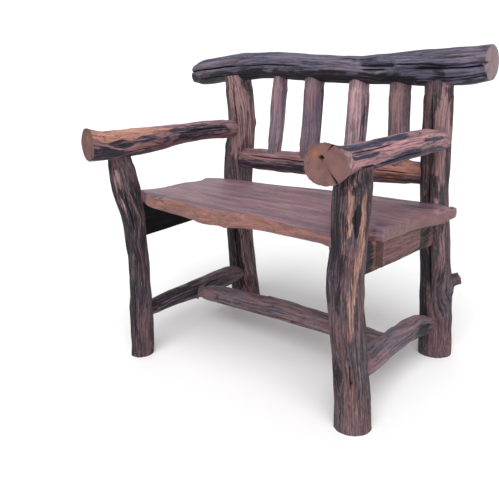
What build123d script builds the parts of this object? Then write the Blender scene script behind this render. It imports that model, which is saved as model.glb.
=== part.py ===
"""Rustic garden bench of peeled logs, in millimetres.

The bench stands on four log legs.  The sitter faces -Y, +Z is up, and "left" is the -X
side.  Every log is lofted through round sections along its own bent centre line.  The
log that ends at a joint is scribed to the log that it meets and carries a round tenon,
and the log that it meets has the mortise.  Pegs lock the tenons, and coach screws hold
the slab seat and the lapped right arm.
"""

import os

from build123d import *

os.makedirs("parts", exist_ok=True)

# ---- fits ----------------------------------------------------------------------------
SCRIBE_GAP = 0.2  # a scribed shoulder stands this far off the log that it meets
TENON_GAP = 0.15  # a mortise is this much larger in radius than its tenon
MORTISE_SPARE = 1.5  # a mortise is this much deeper than its tenon is long
PEG_RADIUS = 5.0
PEG_GAP = 0.1
NOTCH_GAP = 1.0  # the slab is sawn this far clear of the legs and posts

# ---- logs: (x, y, z, radius) along each centre line ----------------------------------
LOGS = {
    "front_leg_left": [
        (-343, -8, -20, 33),
        (-338, -5, 100, 32),
        (-333, -1, 320, 31),
        (-337, -4, 435, 33),
        (-346, -11, 512, 38),
        (-357, -19, 615, 32),
    ],
    "front_leg_right": [
        (356, 14, -20, 44),
        (353, 12, 70, 42),
        (346, 6, 180, 40),
        (339, 1, 285, 40),
        (336, -1, 371, 42),
        (341, 3, 465, 39),
        (343, 4, 533, 42),
        (347, 7, 622, 40),
    ],
    "back_post_left": [
        (-339, 509, -20, 48),
        (-351, 502, 132, 47),
        (-357, 500, 266, 45),
        (-351, 500, 511, 47),
        (-334, 500, 646, 44),
        (-342, 498, 790, 45),
    ],
    "back_post_right": [
        (372, 487, -20, 46),
        (367, 487, 131, 45),
        (354, 487, 310, 42),
        (341, 487, 481, 39),
        (338, 487, 643, 38),
        (334, 487, 785, 39),
    ],
    "top_rail": [
        (-531, 500, 795, 27),
        (-496, 500, 798, 37),
        (-385, 498, 811, 41),
        (-204, 495, 819, 41),
        (9, 492, 806, 39),
        (182, 490, 800, 42),
        (322, 488, 802, 47),
        (424, 487, 807, 47),
        (465, 487, 812, 43),
    ],
    "lower_back_rail": [
        (-318, 491, 525, 33),
        (-97, 490, 521, 34),
        (113, 490, 523, 35),
        (315, 489, 523, 33),
    ],
    "back_spindle_1": [(-166, 492, 800, 24), (-178, 491, 683, 23), (-196, 490, 535, 24)],
    "back_spindle_2": [(-42, 492, 795, 31), (-52, 491, 686, 29), (-65, 490, 535, 31)],
    "back_spindle_3": [(105, 491, 790, 30), (101, 490, 689, 31), (89, 490, 535, 31)],
    "back_spindle_4": [(228, 490, 785, 31), (228, 490, 692, 31), (233, 490, 535, 30)],
    "arm_left": [
        (-349, -165, 645, 45),
        (-348, -124, 640, 43),
        (-347, -85, 633, 38),
        (-347, -18, 629, 37),
        (-347, 93, 628, 35),
        (-347, 217, 631, 30),
        (-347, 354, 628, 28),
        (-346, 480, 617, 29),
    ],
    "arm_right": [
        (343, -160, 641, 44),
        (345, -110, 639, 42),
        (346, -66, 637, 33),
        (351, 46, 633, 31),
        (359, 220, 633, 30),
        (366, 380, 627, 30),
        (368, 454, 618, 23),
    ],
    "side_stretcher_left": [
        (-341, 12, 133, 23),
        (-344, 101, 131, 25),
        (-344, 239, 126, 29),
        (-346, 409, 118, 32),
        (-349, 480, 116, 30),
    ],
    "side_stretcher_right": [
        (348, 30, 134, 31),
        (347, 140, 132, 31),
        (348, 250, 128, 28),
        (352, 360, 118, 29),
        (361, 472, 100, 26),
    ],
    "long_stretcher": [
        (-330, 238, 122, 24),
        (-260, 234, 130, 27),
        (-85, 226, 138, 28),
        (30, 222, 142, 30),
        (158, 215, 141, 27),
        (335, 207, 133, 28),
    ],
}

# The front end of each arm is sawn askew: a point on the cut and the way that it faces.
ARM_CUTS = {
    "arm_left": ((-348, -124, 640), (-0.31, -0.95, 0)),
    "arm_right": ((345, -110, 639), (0.26, -0.97, 0)),
}

# The sawn stub of a side branch on the right back post: root, tip, root and tip radius.
STUB_ROOT = (366, 489, 207)
STUB_TIP = (423, 514, 231)
STUB_RADII = (24, 15)

# ---- joints: (log, log that it enters, tenon root, tenon end, tenon radius) -----------
JOINTS = [
    ("back_post_left", "top_rail", (-341, 498, 735), (-342, 498, 815), 22),
    ("back_post_right", "top_rail", (335, 487, 725), (334, 487, 806), 22),
    ("back_spindle_1", "top_rail", (-171, 491, 745), (-166, 492, 806), 14),
    ("back_spindle_2", "top_rail", (-46, 491, 735), (-42, 492, 800), 17),
    ("back_spindle_3", "top_rail", (103, 490, 730), (105, 491, 795), 17),
    ("back_spindle_4", "top_rail", (228, 490, 725), (228, 490, 795), 17),
    ("back_spindle_1", "lower_back_rail", (-189, 490, 590), (-196, 490, 528), 14),
    ("back_spindle_2", "lower_back_rail", (-61, 490, 590), (-65, 490, 528), 16),
    ("back_spindle_3", "lower_back_rail", (93, 490, 590), (89, 490, 530), 16),
    ("back_spindle_4", "lower_back_rail", (231, 490, 590), (233, 490, 530), 16),
    ("lower_back_rail", "back_post_left", (-270, 491, 524), (-358, 494, 525), 19),
    ("lower_back_rail", "back_post_right", (265, 489, 523), (348, 488, 523), 19),
    ("front_leg_left", "arm_left", (-352, -15, 560), (-356, -18, 632), 18),
    ("front_leg_right", "arm_right", (345, 6, 565), (347, 7, 640), 18),
    ("arm_left", "back_post_left", (-347, 400, 625), (-343, 497, 617), 18),
    ("seat_bearer_left", "front_leg_left", (-337, 90, 415), (-336, -8, 418), 15),
    ("seat_bearer_left", "back_post_left", (-348, 400, 396), (-353, 505, 393), 15),
    ("seat_bearer_right", "front_leg_right", (337, 100, 395), (337, -5, 398), 14),
    ("seat_bearer_right", "back_post_right", (341, 390, 380), (346, 492, 376), 14),
    ("side_stretcher_left", "front_leg_left", (-343, 90, 131), (-339, -12, 133), 15),
    ("side_stretcher_left", "back_post_left", (-346, 400, 118), (-350, 510, 116), 17),
    ("side_stretcher_right", "front_leg_right", (347, 110, 133), (349, 0, 134), 18),
    ("side_stretcher_right", "back_post_right", (350, 390, 114), (364, 495, 102), 17),
    ("long_stretcher", "side_stretcher_left", (-280, 235, 128), (-341, 239, 124), 13),
    ("long_stretcher", "side_stretcher_right", (290, 209, 135), (344, 206, 131), 13),
]

# ---- pegs: node, and (mouth of the hole, blind end, the two logs that it locks) -------
PEGS = {
    "top_rail_pegs": [
        ((-342, 537, 800), (-342, 465, 800), "back_post_left", "top_rail"),
        ((334, 531, 796), (334, 455, 796), "back_post_right", "top_rail"),
    ],
    "lower_rail_pegs": [
        ((-340, 542, 525), (-340, 466, 525), "lower_back_rail", "back_post_left"),
        ((333, 523, 523), (333, 462, 523), "lower_back_rail", "back_post_right"),
    ],
    "arm_pegs": [
        ((-382, -17, 618), (-330, -17, 618), "front_leg_left", "arm_left"),
        ((320, 7, 628), (372, 7, 628), "front_leg_right", "arm_right"),
        ((-378, 484, 618), (-318, 484, 618), "arm_left", "back_post_left"),
    ],
    "bearer_pegs": [
        ((-367, 1, 417), (-312, 1, 417), "seat_bearer_left", "front_leg_left"),
        ((-393, 488, 394), (-330, 488, 394), "seat_bearer_left", "back_post_left"),
        ((300, 3, 398), (360, 3, 398), "seat_bearer_right", "front_leg_right"),
        ((310, 478, 377), (368, 478, 377), "seat_bearer_right", "back_post_right"),
    ],
    "side_stretcher_pegs": [
        ((-368, -2, 133), (-316, -2, 133), "side_stretcher_left", "front_leg_left"),
        ((-394, 495, 116), (-325, 495, 116), "side_stretcher_left", "back_post_left"),
        ((311, 10, 134), (376, 10, 134), "side_stretcher_right", "front_leg_right"),
        ((326, 484, 104), (392, 484, 104), "side_stretcher_right", "back_post_right"),
    ],
    "long_stretcher_pegs": [
        ((-333, 237, 98), (-333, 237, 143), "long_stretcher", "side_stretcher_left"),
        ((336, 207, 104), (336, 207, 148), "long_stretcher", "side_stretcher_right"),
    ],
}

# ---- slab seat -------------------------------------------------------------------------
SLAB_ENDS_X = (-460, 460)  # the slab is drawn between these and cut to its outline
SLAB_EDGES_Y = (-70, 470)
SLAB_TOP_Z = ((523, 452), (464, 454))  # left end front and back, right end front and back
SLAB_THICKNESS = ((38, 34), (30, 30))
SLAB_OUTLINE = [
    (-304, 2),
    (-278, -12),
    (-250, -32),
    (-223, -45),
    (-160, -30),
    (-92, -36),
    (-37, -48),
    (14, -28),
    (60, -12),
    (110, -8),
    (170, -20),
    (240, -34),
    (318, -36),
    (308, 0),
    (304, 36),
    (318, 62),
    (345, 100),
    (374, 104),
    (384, 190),
    (393, 269),
    (402, 304),
    (420, 346),
    (438, 382),
    (430, 410),
    (402, 432),
    (370, 448),
    (60, 450),
    (-180, 446),
    (-330, 450),
    (-396, 432),
    (-410, 412),
    (-374, 325),
    (-350, 240),
    (-336, 184),
    (-316, 127),
    (-308, 80),
    (-305, 40),
]

# ---- bearers under the slab, left and right ---------------------------------------------
# Each is (y, inner x, outer x, bottom z) at its front and back ends.
BEARER_LEFT = [(15, -315, -359, 366), (475, -330, -374, 360)]
BEARER_RIGHT = [(15, 318, 354, 368), (475, 324, 360, 334)]
BEARER_CHEEK = [(105, 340, 373, 372), (273, 344, 392, 380)]
BEARER_RAW_TOP = 520  # the bearers are cut down from here to the slab's underside
CUTTER_HEIGHT = 120
OUTLINE_HEIGHT = 700  # the outline's cutter reaches from the floor to above the slab

# ---- coach screws -----------------------------------------------------------------------
SCREW_RADIUS = 4.0
SCREW_HEAD_ACROSS = 13.0  # hexagon, across its flats
SCREW_HEAD_HEIGHT = 5.5
WASHER_RADIUS = 10.0
WASHER_THICKNESS = 1.6
SCREW_WELL_RADIUS = 11.0
SCREW_GAP = 0.1
SCREW_TIP_SPARE = 2.0
SCREW_POINT_LENGTH = 8.0
SCREW_POINT_RADIUS = 0.6
PEG_BORE_OUTSIDE = 25.0  # a peg's bore starts this far outside its mouth
SAW_BLOCK = 300  # side of the block that a saw cut takes off an arm
FLOOR_BLOCK = 2000  # side of the block of ground that the feet are cut level with
GROUND_DEPTH = 200
# (centre of the washer's seat, way that the screw points, shank length, well depth)
SEAT_SCREWS = [
    ((-338, 240, 386), (0, 0, 1), 75, 30),
    ((-347, 380, 384), (0, 0, 1), 62, 30),
    ((338, 150, 384), (0, 0, 1), 65, 32),
    ((341, 290, 376), (0, 0, 1), 68, 33),
]
ARM_SCREWS = [
    ((360, 506, 608), (0, -1, 0), 85, 30),
    ((360, 506, 632), (0, -1, 0), 85, 30),
]


def toward(start, end):
    """The vector from one point to another."""
    return Vector(*end) - Vector(*start)


def rod(start, end, radius):
    """A straight round rod between two points."""
    way = toward(start, end)
    return Solid.make_cylinder(radius, way.length, Plane(origin=start, z_dir=way))


def log_solid(stations, grow=0.0):
    """A log lofted through round sections that stand square to its centre line."""
    points = [Vector(x, y, z) for x, y, z, _ in stations]
    run = points[-1] - points[0]
    across = Vector(1, 0, 0) if abs(run.Z) > abs(run.X) + abs(run.Y) else Vector(0, 0, 1)
    sections = []
    for index, point in enumerate(points):
        before = points[max(index - 1, 0)]
        after = points[min(index + 1, len(points) - 1)]
        plane = Plane(origin=point, x_dir=across, z_dir=after - before)
        sections.append(plane * Circle(stations[index][3] + grow))
    return loft(sections)


def above_floor(shape):
    """The part of a leg above the floor, so that its foot is sawn flat."""
    size = (FLOOR_BLOCK, FLOOR_BLOCK, GROUND_DEPTH)
    below = Box(*size, align=(Align.CENTER, Align.CENTER, Align.MAX))
    return shape - below


def sawn_end(shape, point, facing):
    """The log with everything beyond a skew saw cut taken off."""
    place = Plane(origin=point, z_dir=facing)
    size = (SAW_BLOCK, SAW_BLOCK, SAW_BLOCK)
    beyond = Box(*size, align=(Align.CENTER, Align.CENTER, Align.MIN))
    return shape - place * beyond


def tapered_bar(ends, top):
    """A squared timber between two end sections given as (y, inner x, outer x, bottom)."""
    sections = []
    for y, inner, outer, bottom in ends:
        corners = [(inner, y, bottom), (outer, y, bottom), (outer, y, top), (inner, y, top)]
        sections.append(Face(Wire.make_polygon(corners)))
    return loft(sections, ruled=True)


def slab_block(lift, thickness):
    """A block with the slab's skew top, raised by lift, and a thickness per corner."""
    sections = []
    for x, tops, depths in zip(SLAB_ENDS_X, SLAB_TOP_Z, thickness):
        front, back = SLAB_EDGES_Y
        corners = [
            (x, front, tops[0] + lift - depths[0]),
            (x, back, tops[1] + lift - depths[1]),
            (x, back, tops[1] + lift),
            (x, front, tops[0] + lift),
        ]
        sections.append(Face(Wire.make_polygon(corners)))
    return loft(sections, ruled=True)


def seat_slab():
    """The slab seat: a waney outline cut through the skew block, notched round the legs."""
    outline = extrude(make_face(Polyline(*SLAB_OUTLINE, close=True)), amount=OUTLINE_HEIGHT)
    slab = slab_block(0, SLAB_THICKNESS) & outline
    for name in ("front_leg_left", "front_leg_right", "back_post_left", "back_post_right"):
        slab -= log_solid(LOGS[name], NOTCH_GAP)
    return slab


def under_slab(bearer):
    """A bearer cut down to the skew underside of the slab."""
    depths = [[depth + CUTTER_HEIGHT for depth in pair] for pair in SLAB_THICKNESS]
    return bearer - slab_block(CUTTER_HEIGHT, depths)


def screw_plane(seat, way):
    """A plane at the washer's seat, looking the way that the screw points."""
    return Plane(origin=seat, z_dir=Vector(*way))


def screw_solid(seat, way, length):
    """One coach screw: a hexagon head behind its washer, a shank and a pointed tip."""
    place = screw_plane(seat, way)
    straight = length - SCREW_POINT_LENGTH
    shank = Solid.make_cylinder(SCREW_RADIUS, straight, place)
    point = Solid.make_cone(
        SCREW_RADIUS, SCREW_POINT_RADIUS, SCREW_POINT_LENGTH, place.offset(straight)
    )
    head_plane = place.offset(-WASHER_THICKNESS)
    hexagon = RegularPolygon(SCREW_HEAD_ACROSS / 2, 6, major_radius=False)
    head = extrude(head_plane * hexagon, amount=-SCREW_HEAD_HEIGHT)
    neck = Solid.make_cylinder(SCREW_RADIUS, WASHER_THICKNESS, head_plane)
    return head + neck + shank + point


def washer_solid(seat, way):
    """One washer, on the seat at the bottom of its well."""
    place = screw_plane(seat, way).offset(-WASHER_THICKNESS)
    disc = Solid.make_cylinder(WASHER_RADIUS, WASHER_THICKNESS, place)
    return disc - Solid.make_cylinder(SCREW_RADIUS + SCREW_GAP, WASHER_THICKNESS, place)


def screw_hole(seat, way, length, well):
    """The pilot hole of one screw with the well that sinks its head."""
    place = screw_plane(seat, way)
    hole = Solid.make_cylinder(SCREW_RADIUS + SCREW_GAP, length + SCREW_TIP_SPARE, place)
    return hole + Solid.make_cylinder(SCREW_WELL_RADIUS, well, place.offset(-well))


def raw_pieces():
    """Every wooden piece before its joints are cut."""
    pieces = {name: log_solid(stations) for name, stations in LOGS.items()}
    pieces["back_post_right"] += stub_solid()
    for name in ("front_leg_left", "front_leg_right", "back_post_left", "back_post_right"):
        pieces[name] = above_floor(pieces[name])
    for name, (point, facing) in ARM_CUTS.items():
        pieces[name] = sawn_end(pieces[name], point, facing)
    pieces["seat_plank"] = seat_slab()
    pieces["seat_bearer_left"] = under_slab(tapered_bar(BEARER_LEFT, BEARER_RAW_TOP))
    core = tapered_bar(BEARER_RIGHT, BEARER_RAW_TOP)
    cheek = tapered_bar(BEARER_CHEEK, BEARER_RAW_TOP)
    pieces["seat_bearer_right"] = under_slab(core + cheek)
    return pieces


def stub_solid():
    """The stub of a side branch, tapering to its sawn tip."""
    way = toward(STUB_ROOT, STUB_TIP)
    place = Plane(origin=STUB_ROOT, z_dir=way)
    return Solid.make_cone(STUB_RADII[0], STUB_RADII[1], way.length, place)


def cut_joints(pieces):
    """Scribe each shoulder, then add its tenon and cut the mortise for it."""
    for name, host, *_ in JOINTS:
        pieces[name] -= log_solid(LOGS[host], SCRIBE_GAP)
    pieces["arm_right"] -= log_solid(LOGS["back_post_right"], SCRIBE_GAP)
    for name, host, root, end, radius in JOINTS:
        pieces[name] += rod(root, end, radius)
        way = toward(root, end)
        deeper = Vector(*end) + way.normalized() * MORTISE_SPARE
        pieces[host] -= rod(root, tuple(deeper), radius + TENON_GAP)


def fit_pegs(pieces):
    """Bore the peg holes and return the peg nodes, each a group of separate pegs."""
    nodes = {}
    for node, pegs in PEGS.items():
        nodes[node] = []
        for mouth, blind, *locked in pegs:
            nodes[node].append(rod(mouth, blind, PEG_RADIUS))
            way = toward(mouth, blind).normalized()
            outside = Vector(*mouth) - way * PEG_BORE_OUTSIDE
            beyond = Vector(*blind) + way
            bore = rod(tuple(outside), tuple(beyond), PEG_RADIUS + PEG_GAP)
            for name in locked:
                pieces[name] -= bore
    return nodes


def fit_screws(pieces, screws, names):
    """Bore one set of screws through the named pieces and return screws and washers."""
    for seat, way, length, well in screws:
        for name in names:
            pieces[name] -= screw_hole(seat, way, length, well)
    solids = [screw_solid(seat, way, length) for seat, way, length, _ in screws]
    washers = [washer_solid(seat, way) for seat, way, _, _ in screws]
    return solids, washers


def build():
    """Every node of the bench, in the drawing's own frame."""
    pieces = raw_pieces()
    cut_joints(pieces)
    nodes = fit_pegs(pieces)
    seat_names = ("seat_bearer_left", "seat_bearer_right", "seat_plank")
    nodes["seat_screws"], nodes["seat_screw_washers"] = fit_screws(
        pieces, SEAT_SCREWS, seat_names
    )
    arm_names = ("back_post_right", "arm_right")
    nodes["arm_screws"], nodes["arm_screw_washers"] = fit_screws(
        pieces, ARM_SCREWS, arm_names
    )
    for name, piece in pieces.items():
        nodes[name] = piece.solids()
    return nodes


def main():
    """Write each node, with the origin under the middle of the bench, on the floor."""
    nodes = build()
    whole = Compound([solid for solids in nodes.values() for solid in solids])
    box = whole.bounding_box()
    middle = box.center()
    home = Location((-middle.X, -middle.Y, -box.min.Z))
    print("origin of the drawing is moved by", home.position)
    for name, solids in nodes.items():
        moved = [home * solid for solid in solids]
        print(name, len(moved), "solids")
        shape = moved[0] if len(moved) == 1 else Compound(moved)
        export_step(shape, f"parts/{name}.step")


main()
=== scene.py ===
"""Looks of the rustic log garden bench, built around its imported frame.

Sizes are in millimetres, as a joiner writes them, and become metres when a mesh is made.
The sitter faces -Y, +Z is up, and "left" is the -X side.  A place on a log is given as
the distance along it from its first station and an angle round it: on an upright log
0 degrees is +X and -90 is the front, and on a lying log 0 is the top, and 90 is the
front of a log along X or the +X side of a log along Y.
"""

import logging
import math
from dataclasses import dataclass, replace
from enum import Enum
from typing import Sequence, Union

import bpy
import numpy as np
from mathutils import Matrix, Vector


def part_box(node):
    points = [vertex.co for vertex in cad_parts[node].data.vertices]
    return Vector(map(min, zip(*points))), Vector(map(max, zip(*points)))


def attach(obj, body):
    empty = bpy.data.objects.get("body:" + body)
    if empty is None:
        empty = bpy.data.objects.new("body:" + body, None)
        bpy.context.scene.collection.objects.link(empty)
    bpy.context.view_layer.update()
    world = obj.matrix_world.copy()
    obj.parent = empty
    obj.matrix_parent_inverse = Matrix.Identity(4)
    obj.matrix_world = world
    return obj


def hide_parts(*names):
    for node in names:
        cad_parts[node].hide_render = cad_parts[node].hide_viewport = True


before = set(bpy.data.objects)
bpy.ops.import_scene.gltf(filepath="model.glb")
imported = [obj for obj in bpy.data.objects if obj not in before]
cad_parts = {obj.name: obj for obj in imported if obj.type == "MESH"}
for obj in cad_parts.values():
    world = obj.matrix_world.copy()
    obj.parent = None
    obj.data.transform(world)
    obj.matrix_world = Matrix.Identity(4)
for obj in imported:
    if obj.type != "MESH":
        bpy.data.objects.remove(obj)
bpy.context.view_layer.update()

MM = 0.001
# Where the two caps of a log lie on its colour map, whose left part holds its side.
HEAD_MAP = (0.895, 0.25)
TAIL_MAP = (0.895, 0.75)
CAP_MAP_RADIUS = 0.095
SIDE_MAP_WIDTH = 0.77
MAP_EDGE = 0.01  # nothing lies nearer to the map's edge than this
MAP_SPAN = 0.98
REPORT = logging.getLogger("bench")
Colour = tuple[float, float, float]
Station = tuple[float, float, float, float]
Corners = tuple[tuple[float, float], tuple[float, float]]
Piece = Union["Log", "Slab", "Bearer", "PegGroup"]

# The slab's lowest X and Y in the joiner's drawing.  The drawing's X = 0 is midway between
# the front feet and its Y = 0 is their line; the frame puts the bench's middle at 0, 0.
DRAWN_SLAB_CORNER = (-410.0, -48.0)


def drawing_shift() -> np.ndarray:
    """Return how far the frame lies from the joiner's drawing, in millimetres."""
    low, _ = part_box("seat_plank")
    return np.array([low[0] / MM - DRAWN_SLAB_CORNER[0], low[1] / MM - DRAWN_SLAB_CORNER[1], 0.0])


SHIFT = drawing_shift()


# ---- noise and small maths ----


class Noise:
    """Smooth, repeatable noise over three coordinates, between about -1 and 1."""

    SIDE = 32
    LAYER_OFFSET = 7.3  # keeps the layers from meeting at the lattice's corner

    def __init__(self, seed: int) -> None:
        """Fill the lattice from a seed."""
        self.table = np.random.default_rng(seed).uniform(-1.0, 1.0, (self.SIDE,) * 3)

    def at(self, x: np.ndarray, y: np.ndarray, z: np.ndarray) -> np.ndarray:
        """Return the noise at each point.

        Args:
            x, y, z: coordinates in lattice cells, of shapes that broadcast together.

        Returns:
            One value for each point.
        """
        cells, shares = [], []
        for axis in np.broadcast_arrays(x, y, z):
            low = np.floor(axis)
            part = axis - low
            cells.append(low.astype(int))
            shares.append(part * part * (3.0 - 2.0 * part))
        total = np.zeros(cells[0].shape)
        for corner in np.ndindex(2, 2, 2):
            share = 1.0
            for step, part in zip(corner, shares):
                share = share * (part if step else 1.0 - part)
            index = tuple((cell + step) % self.SIDE for cell, step in zip(cells, corner))
            total = total + share * self.table[index]
        return total

    def layered(self, x: np.ndarray, y: np.ndarray, z: np.ndarray, layers: int = 3) -> np.ndarray:
        """Return noise with finer layers added at half the strength of the one before.

        Args:
            x, y, z: coordinates in cells of the coarsest layer.
            layers: how many layers are added up.

        Returns:
            One value for each point.
        """
        total, size = 0.0, 1.0
        for layer in range(layers):
            offset = self.LAYER_OFFSET * layer
            total = total + self.at(x * size + offset, y * size, z * size + offset) / size
            size *= 2.0
        return total


def smooth_step(low: float, high: float, x: np.ndarray) -> np.ndarray:
    """Return 0 below low, 1 above high and a smooth rise between."""
    part = np.clip((x - low) / (high - low), 0.0, 1.0)
    return part * part * (3.0 - 2.0 * part)


def turn_between(angle: np.ndarray, centre: np.ndarray) -> np.ndarray:
    """Return the signed turn from centre to angle in radians, the short way round."""
    return (angle - centre + math.pi) % (2.0 * math.pi) - math.pi


def unit(vectors: np.ndarray) -> np.ndarray:
    """Return the vectors at length one."""
    return vectors / np.linalg.norm(vectors, axis=-1, keepdims=True)


# ---- shader trees ----


class Value:
    """One output socket of a shader tree, used in Python expressions."""

    def __init__(self, tree: "ShaderTree", socket: bpy.types.NodeSocket) -> None:
        """Wrap a socket of the tree."""
        self.tree = tree
        self.socket = socket

    def _math(self, operation: str, first: object, second: object) -> "Value":
        """Add a Math node and return its result."""
        settings = {"operation": operation}
        return self.tree.node("ShaderNodeMath", settings, {0: first, 1: second})

    def __add__(self, other: object) -> "Value":
        """Return self + other."""
        return self._math("ADD", self, other)

    def __radd__(self, other: object) -> "Value":
        """Return other + self."""
        return self._math("ADD", other, self)

    def __sub__(self, other: object) -> "Value":
        """Return self - other."""
        return self._math("SUBTRACT", self, other)

    def __rsub__(self, other: object) -> "Value":
        """Return other - self."""
        return self._math("SUBTRACT", other, self)

    def __mul__(self, other: object) -> "Value":
        """Return self * other."""
        return self._math("MULTIPLY", self, other)

    def __rmul__(self, other: object) -> "Value":
        """Return other * self."""
        return self._math("MULTIPLY", other, self)

    def sine(self) -> "Value":
        """Return the sine of the value."""
        return self._math("SINE", self, 0.0)

    def clamped(self) -> "Value":
        """Return the value held between 0 and 1."""
        return self.tree.node("ShaderNodeClamp", {}, {"Value": self})


class ShaderTree:
    """The nodes of one material."""

    def __init__(self, name: str) -> None:
        """Start a material with only its surface shader and output.

        Args:
            name: the material's name.
        """
        self.material = bpy.data.materials.new(name)
        self.material.use_nodes = True
        self.nodes = self.material.node_tree.nodes
        self.links = self.material.node_tree.links
        self.shader = next(n for n in self.nodes if n.type == "BSDF_PRINCIPLED")

    def node(self, kind: str, settings: dict, inputs: dict, output: object = 0) -> Value:
        """Add one node.

        Args:
            kind: the node's type name.
            settings: properties of the node, set first; "stops" fills a colour ramp.
            inputs: values or links for its sockets, by name or number.
            output: the name or number of the output that is returned.

        Returns:
            The chosen output as a Value.
        """
        made = self.nodes.new(kind)
        for key, setting in settings.items():
            if key == "stops":
                self._fill_ramp(made.color_ramp, setting)
            else:
                setattr(made, key, setting)
        for key, given in inputs.items():
            self.feed(made.inputs[key], given)
        return Value(self, made.outputs[output])

    @staticmethod
    def _fill_ramp(ramp: bpy.types.ColorRamp, stops: Sequence[tuple[float, Colour]]) -> None:
        """Give a colour ramp its stops.

        Args:
            ramp: the ramp.
            stops: the place and colour of each stop.
        """
        while len(ramp.elements) < len(stops):
            ramp.elements.new(1.0)
        for element, (place, colour) in zip(ramp.elements, stops):
            element.position = place
            element.color = (*colour, 1.0)

    def feed(self, socket: bpy.types.NodeSocket, given: object) -> None:
        """Link a Value to a socket, or set a constant on it.

        Args:
            socket: the socket.
            given: a Value, colour, vector or number.
        """
        if isinstance(given, Value):
            self.links.new(given.socket, socket)
        elif isinstance(given, tuple) and len(given) == 3 and socket.type == "RGBA":
            socket.default_value = (*given, 1.0)
        else:
            socket.default_value = given

    def attribute(self, name: str, output: str) -> Value:
        """Return a named attribute of the mesh."""
        settings = {"attribute_name": name, "attribute_type": "GEOMETRY"}
        return self.node("ShaderNodeAttribute", settings, {}, output)

    def scaled(self, vector: Value, by: Colour) -> Value:
        """Return a vector times another, axis by axis."""
        return self.node("ShaderNodeVectorMath", {"operation": "MULTIPLY"}, {0: vector, 1: by})

    def moved(self, vector: Value, by: object) -> Value:
        """Return a vector plus another."""
        return self.node("ShaderNodeVectorMath", {"operation": "ADD"}, {0: vector, 1: by})

    def length(self, vector: Value) -> Value:
        """Return the length of a vector."""
        return self.node("ShaderNodeVectorMath", {"operation": "LENGTH"}, {0: vector}, "Value")

    def noise(self, vector: Value, detail: float = 3.0, rough: float = 0.55) -> Value:
        """Return a noise value between 0 and 1, one cell for each unit of the vector."""
        inputs = {"Vector": vector, "Scale": 1.0, "Detail": detail, "Roughness": rough}
        return self.node("ShaderNodeTexNoise", {}, inputs, 0)

    def ramp(self, factor: Value, stops: Sequence[tuple[float, Colour]]) -> Value:
        """Return the colour at a factor on a ramp."""
        return self.node("ShaderNodeValToRGB", {"stops": stops}, {"Fac": factor})

    def spread(self, value: Value, low: float, high: float) -> Value:
        """Return the value stretched so that low becomes 0 and high becomes 1.

        Args:
            value: the value.
            low, high: its ends before.

        Returns:
            The stretched value.
        """
        settings = {"clamp": True, "interpolation_type": "SMOOTHSTEP"}
        inputs = {"Value": value, "From Min": low, "From Max": high}
        return self.node("ShaderNodeMapRange", settings, inputs)

    def blend(self, factor: object, first: object, second: object, mode: str = "MIX") -> Value:
        """Return first turning into second as the factor goes from 0 to 1.

        Args:
            factor: 0 to 1.
            first, second: colours.
            mode: how they mix.

        Returns:
            The mixed colour.
        """
        settings = {"data_type": "RGBA", "blend_type": mode}
        inputs = {0: factor, 6: first, 7: second}
        return self.node("ShaderNodeMix", settings, inputs, 2)

    def bump(self, height: Value, distance: float, strength: float) -> Value:
        """Return a normal bumped by a height."""
        inputs = {"Height": height, "Distance": distance, "Strength": strength}
        return self.node("ShaderNodeBump", {}, inputs)

    def surface(self, **sockets: object) -> None:
        """Feed the surface shader's sockets, with spaces in their names as underscores."""
        for key, given in sockets.items():
            self.feed(self.shader.inputs[key.replace("_", " ")], given)


# ---- finishes ----


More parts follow.
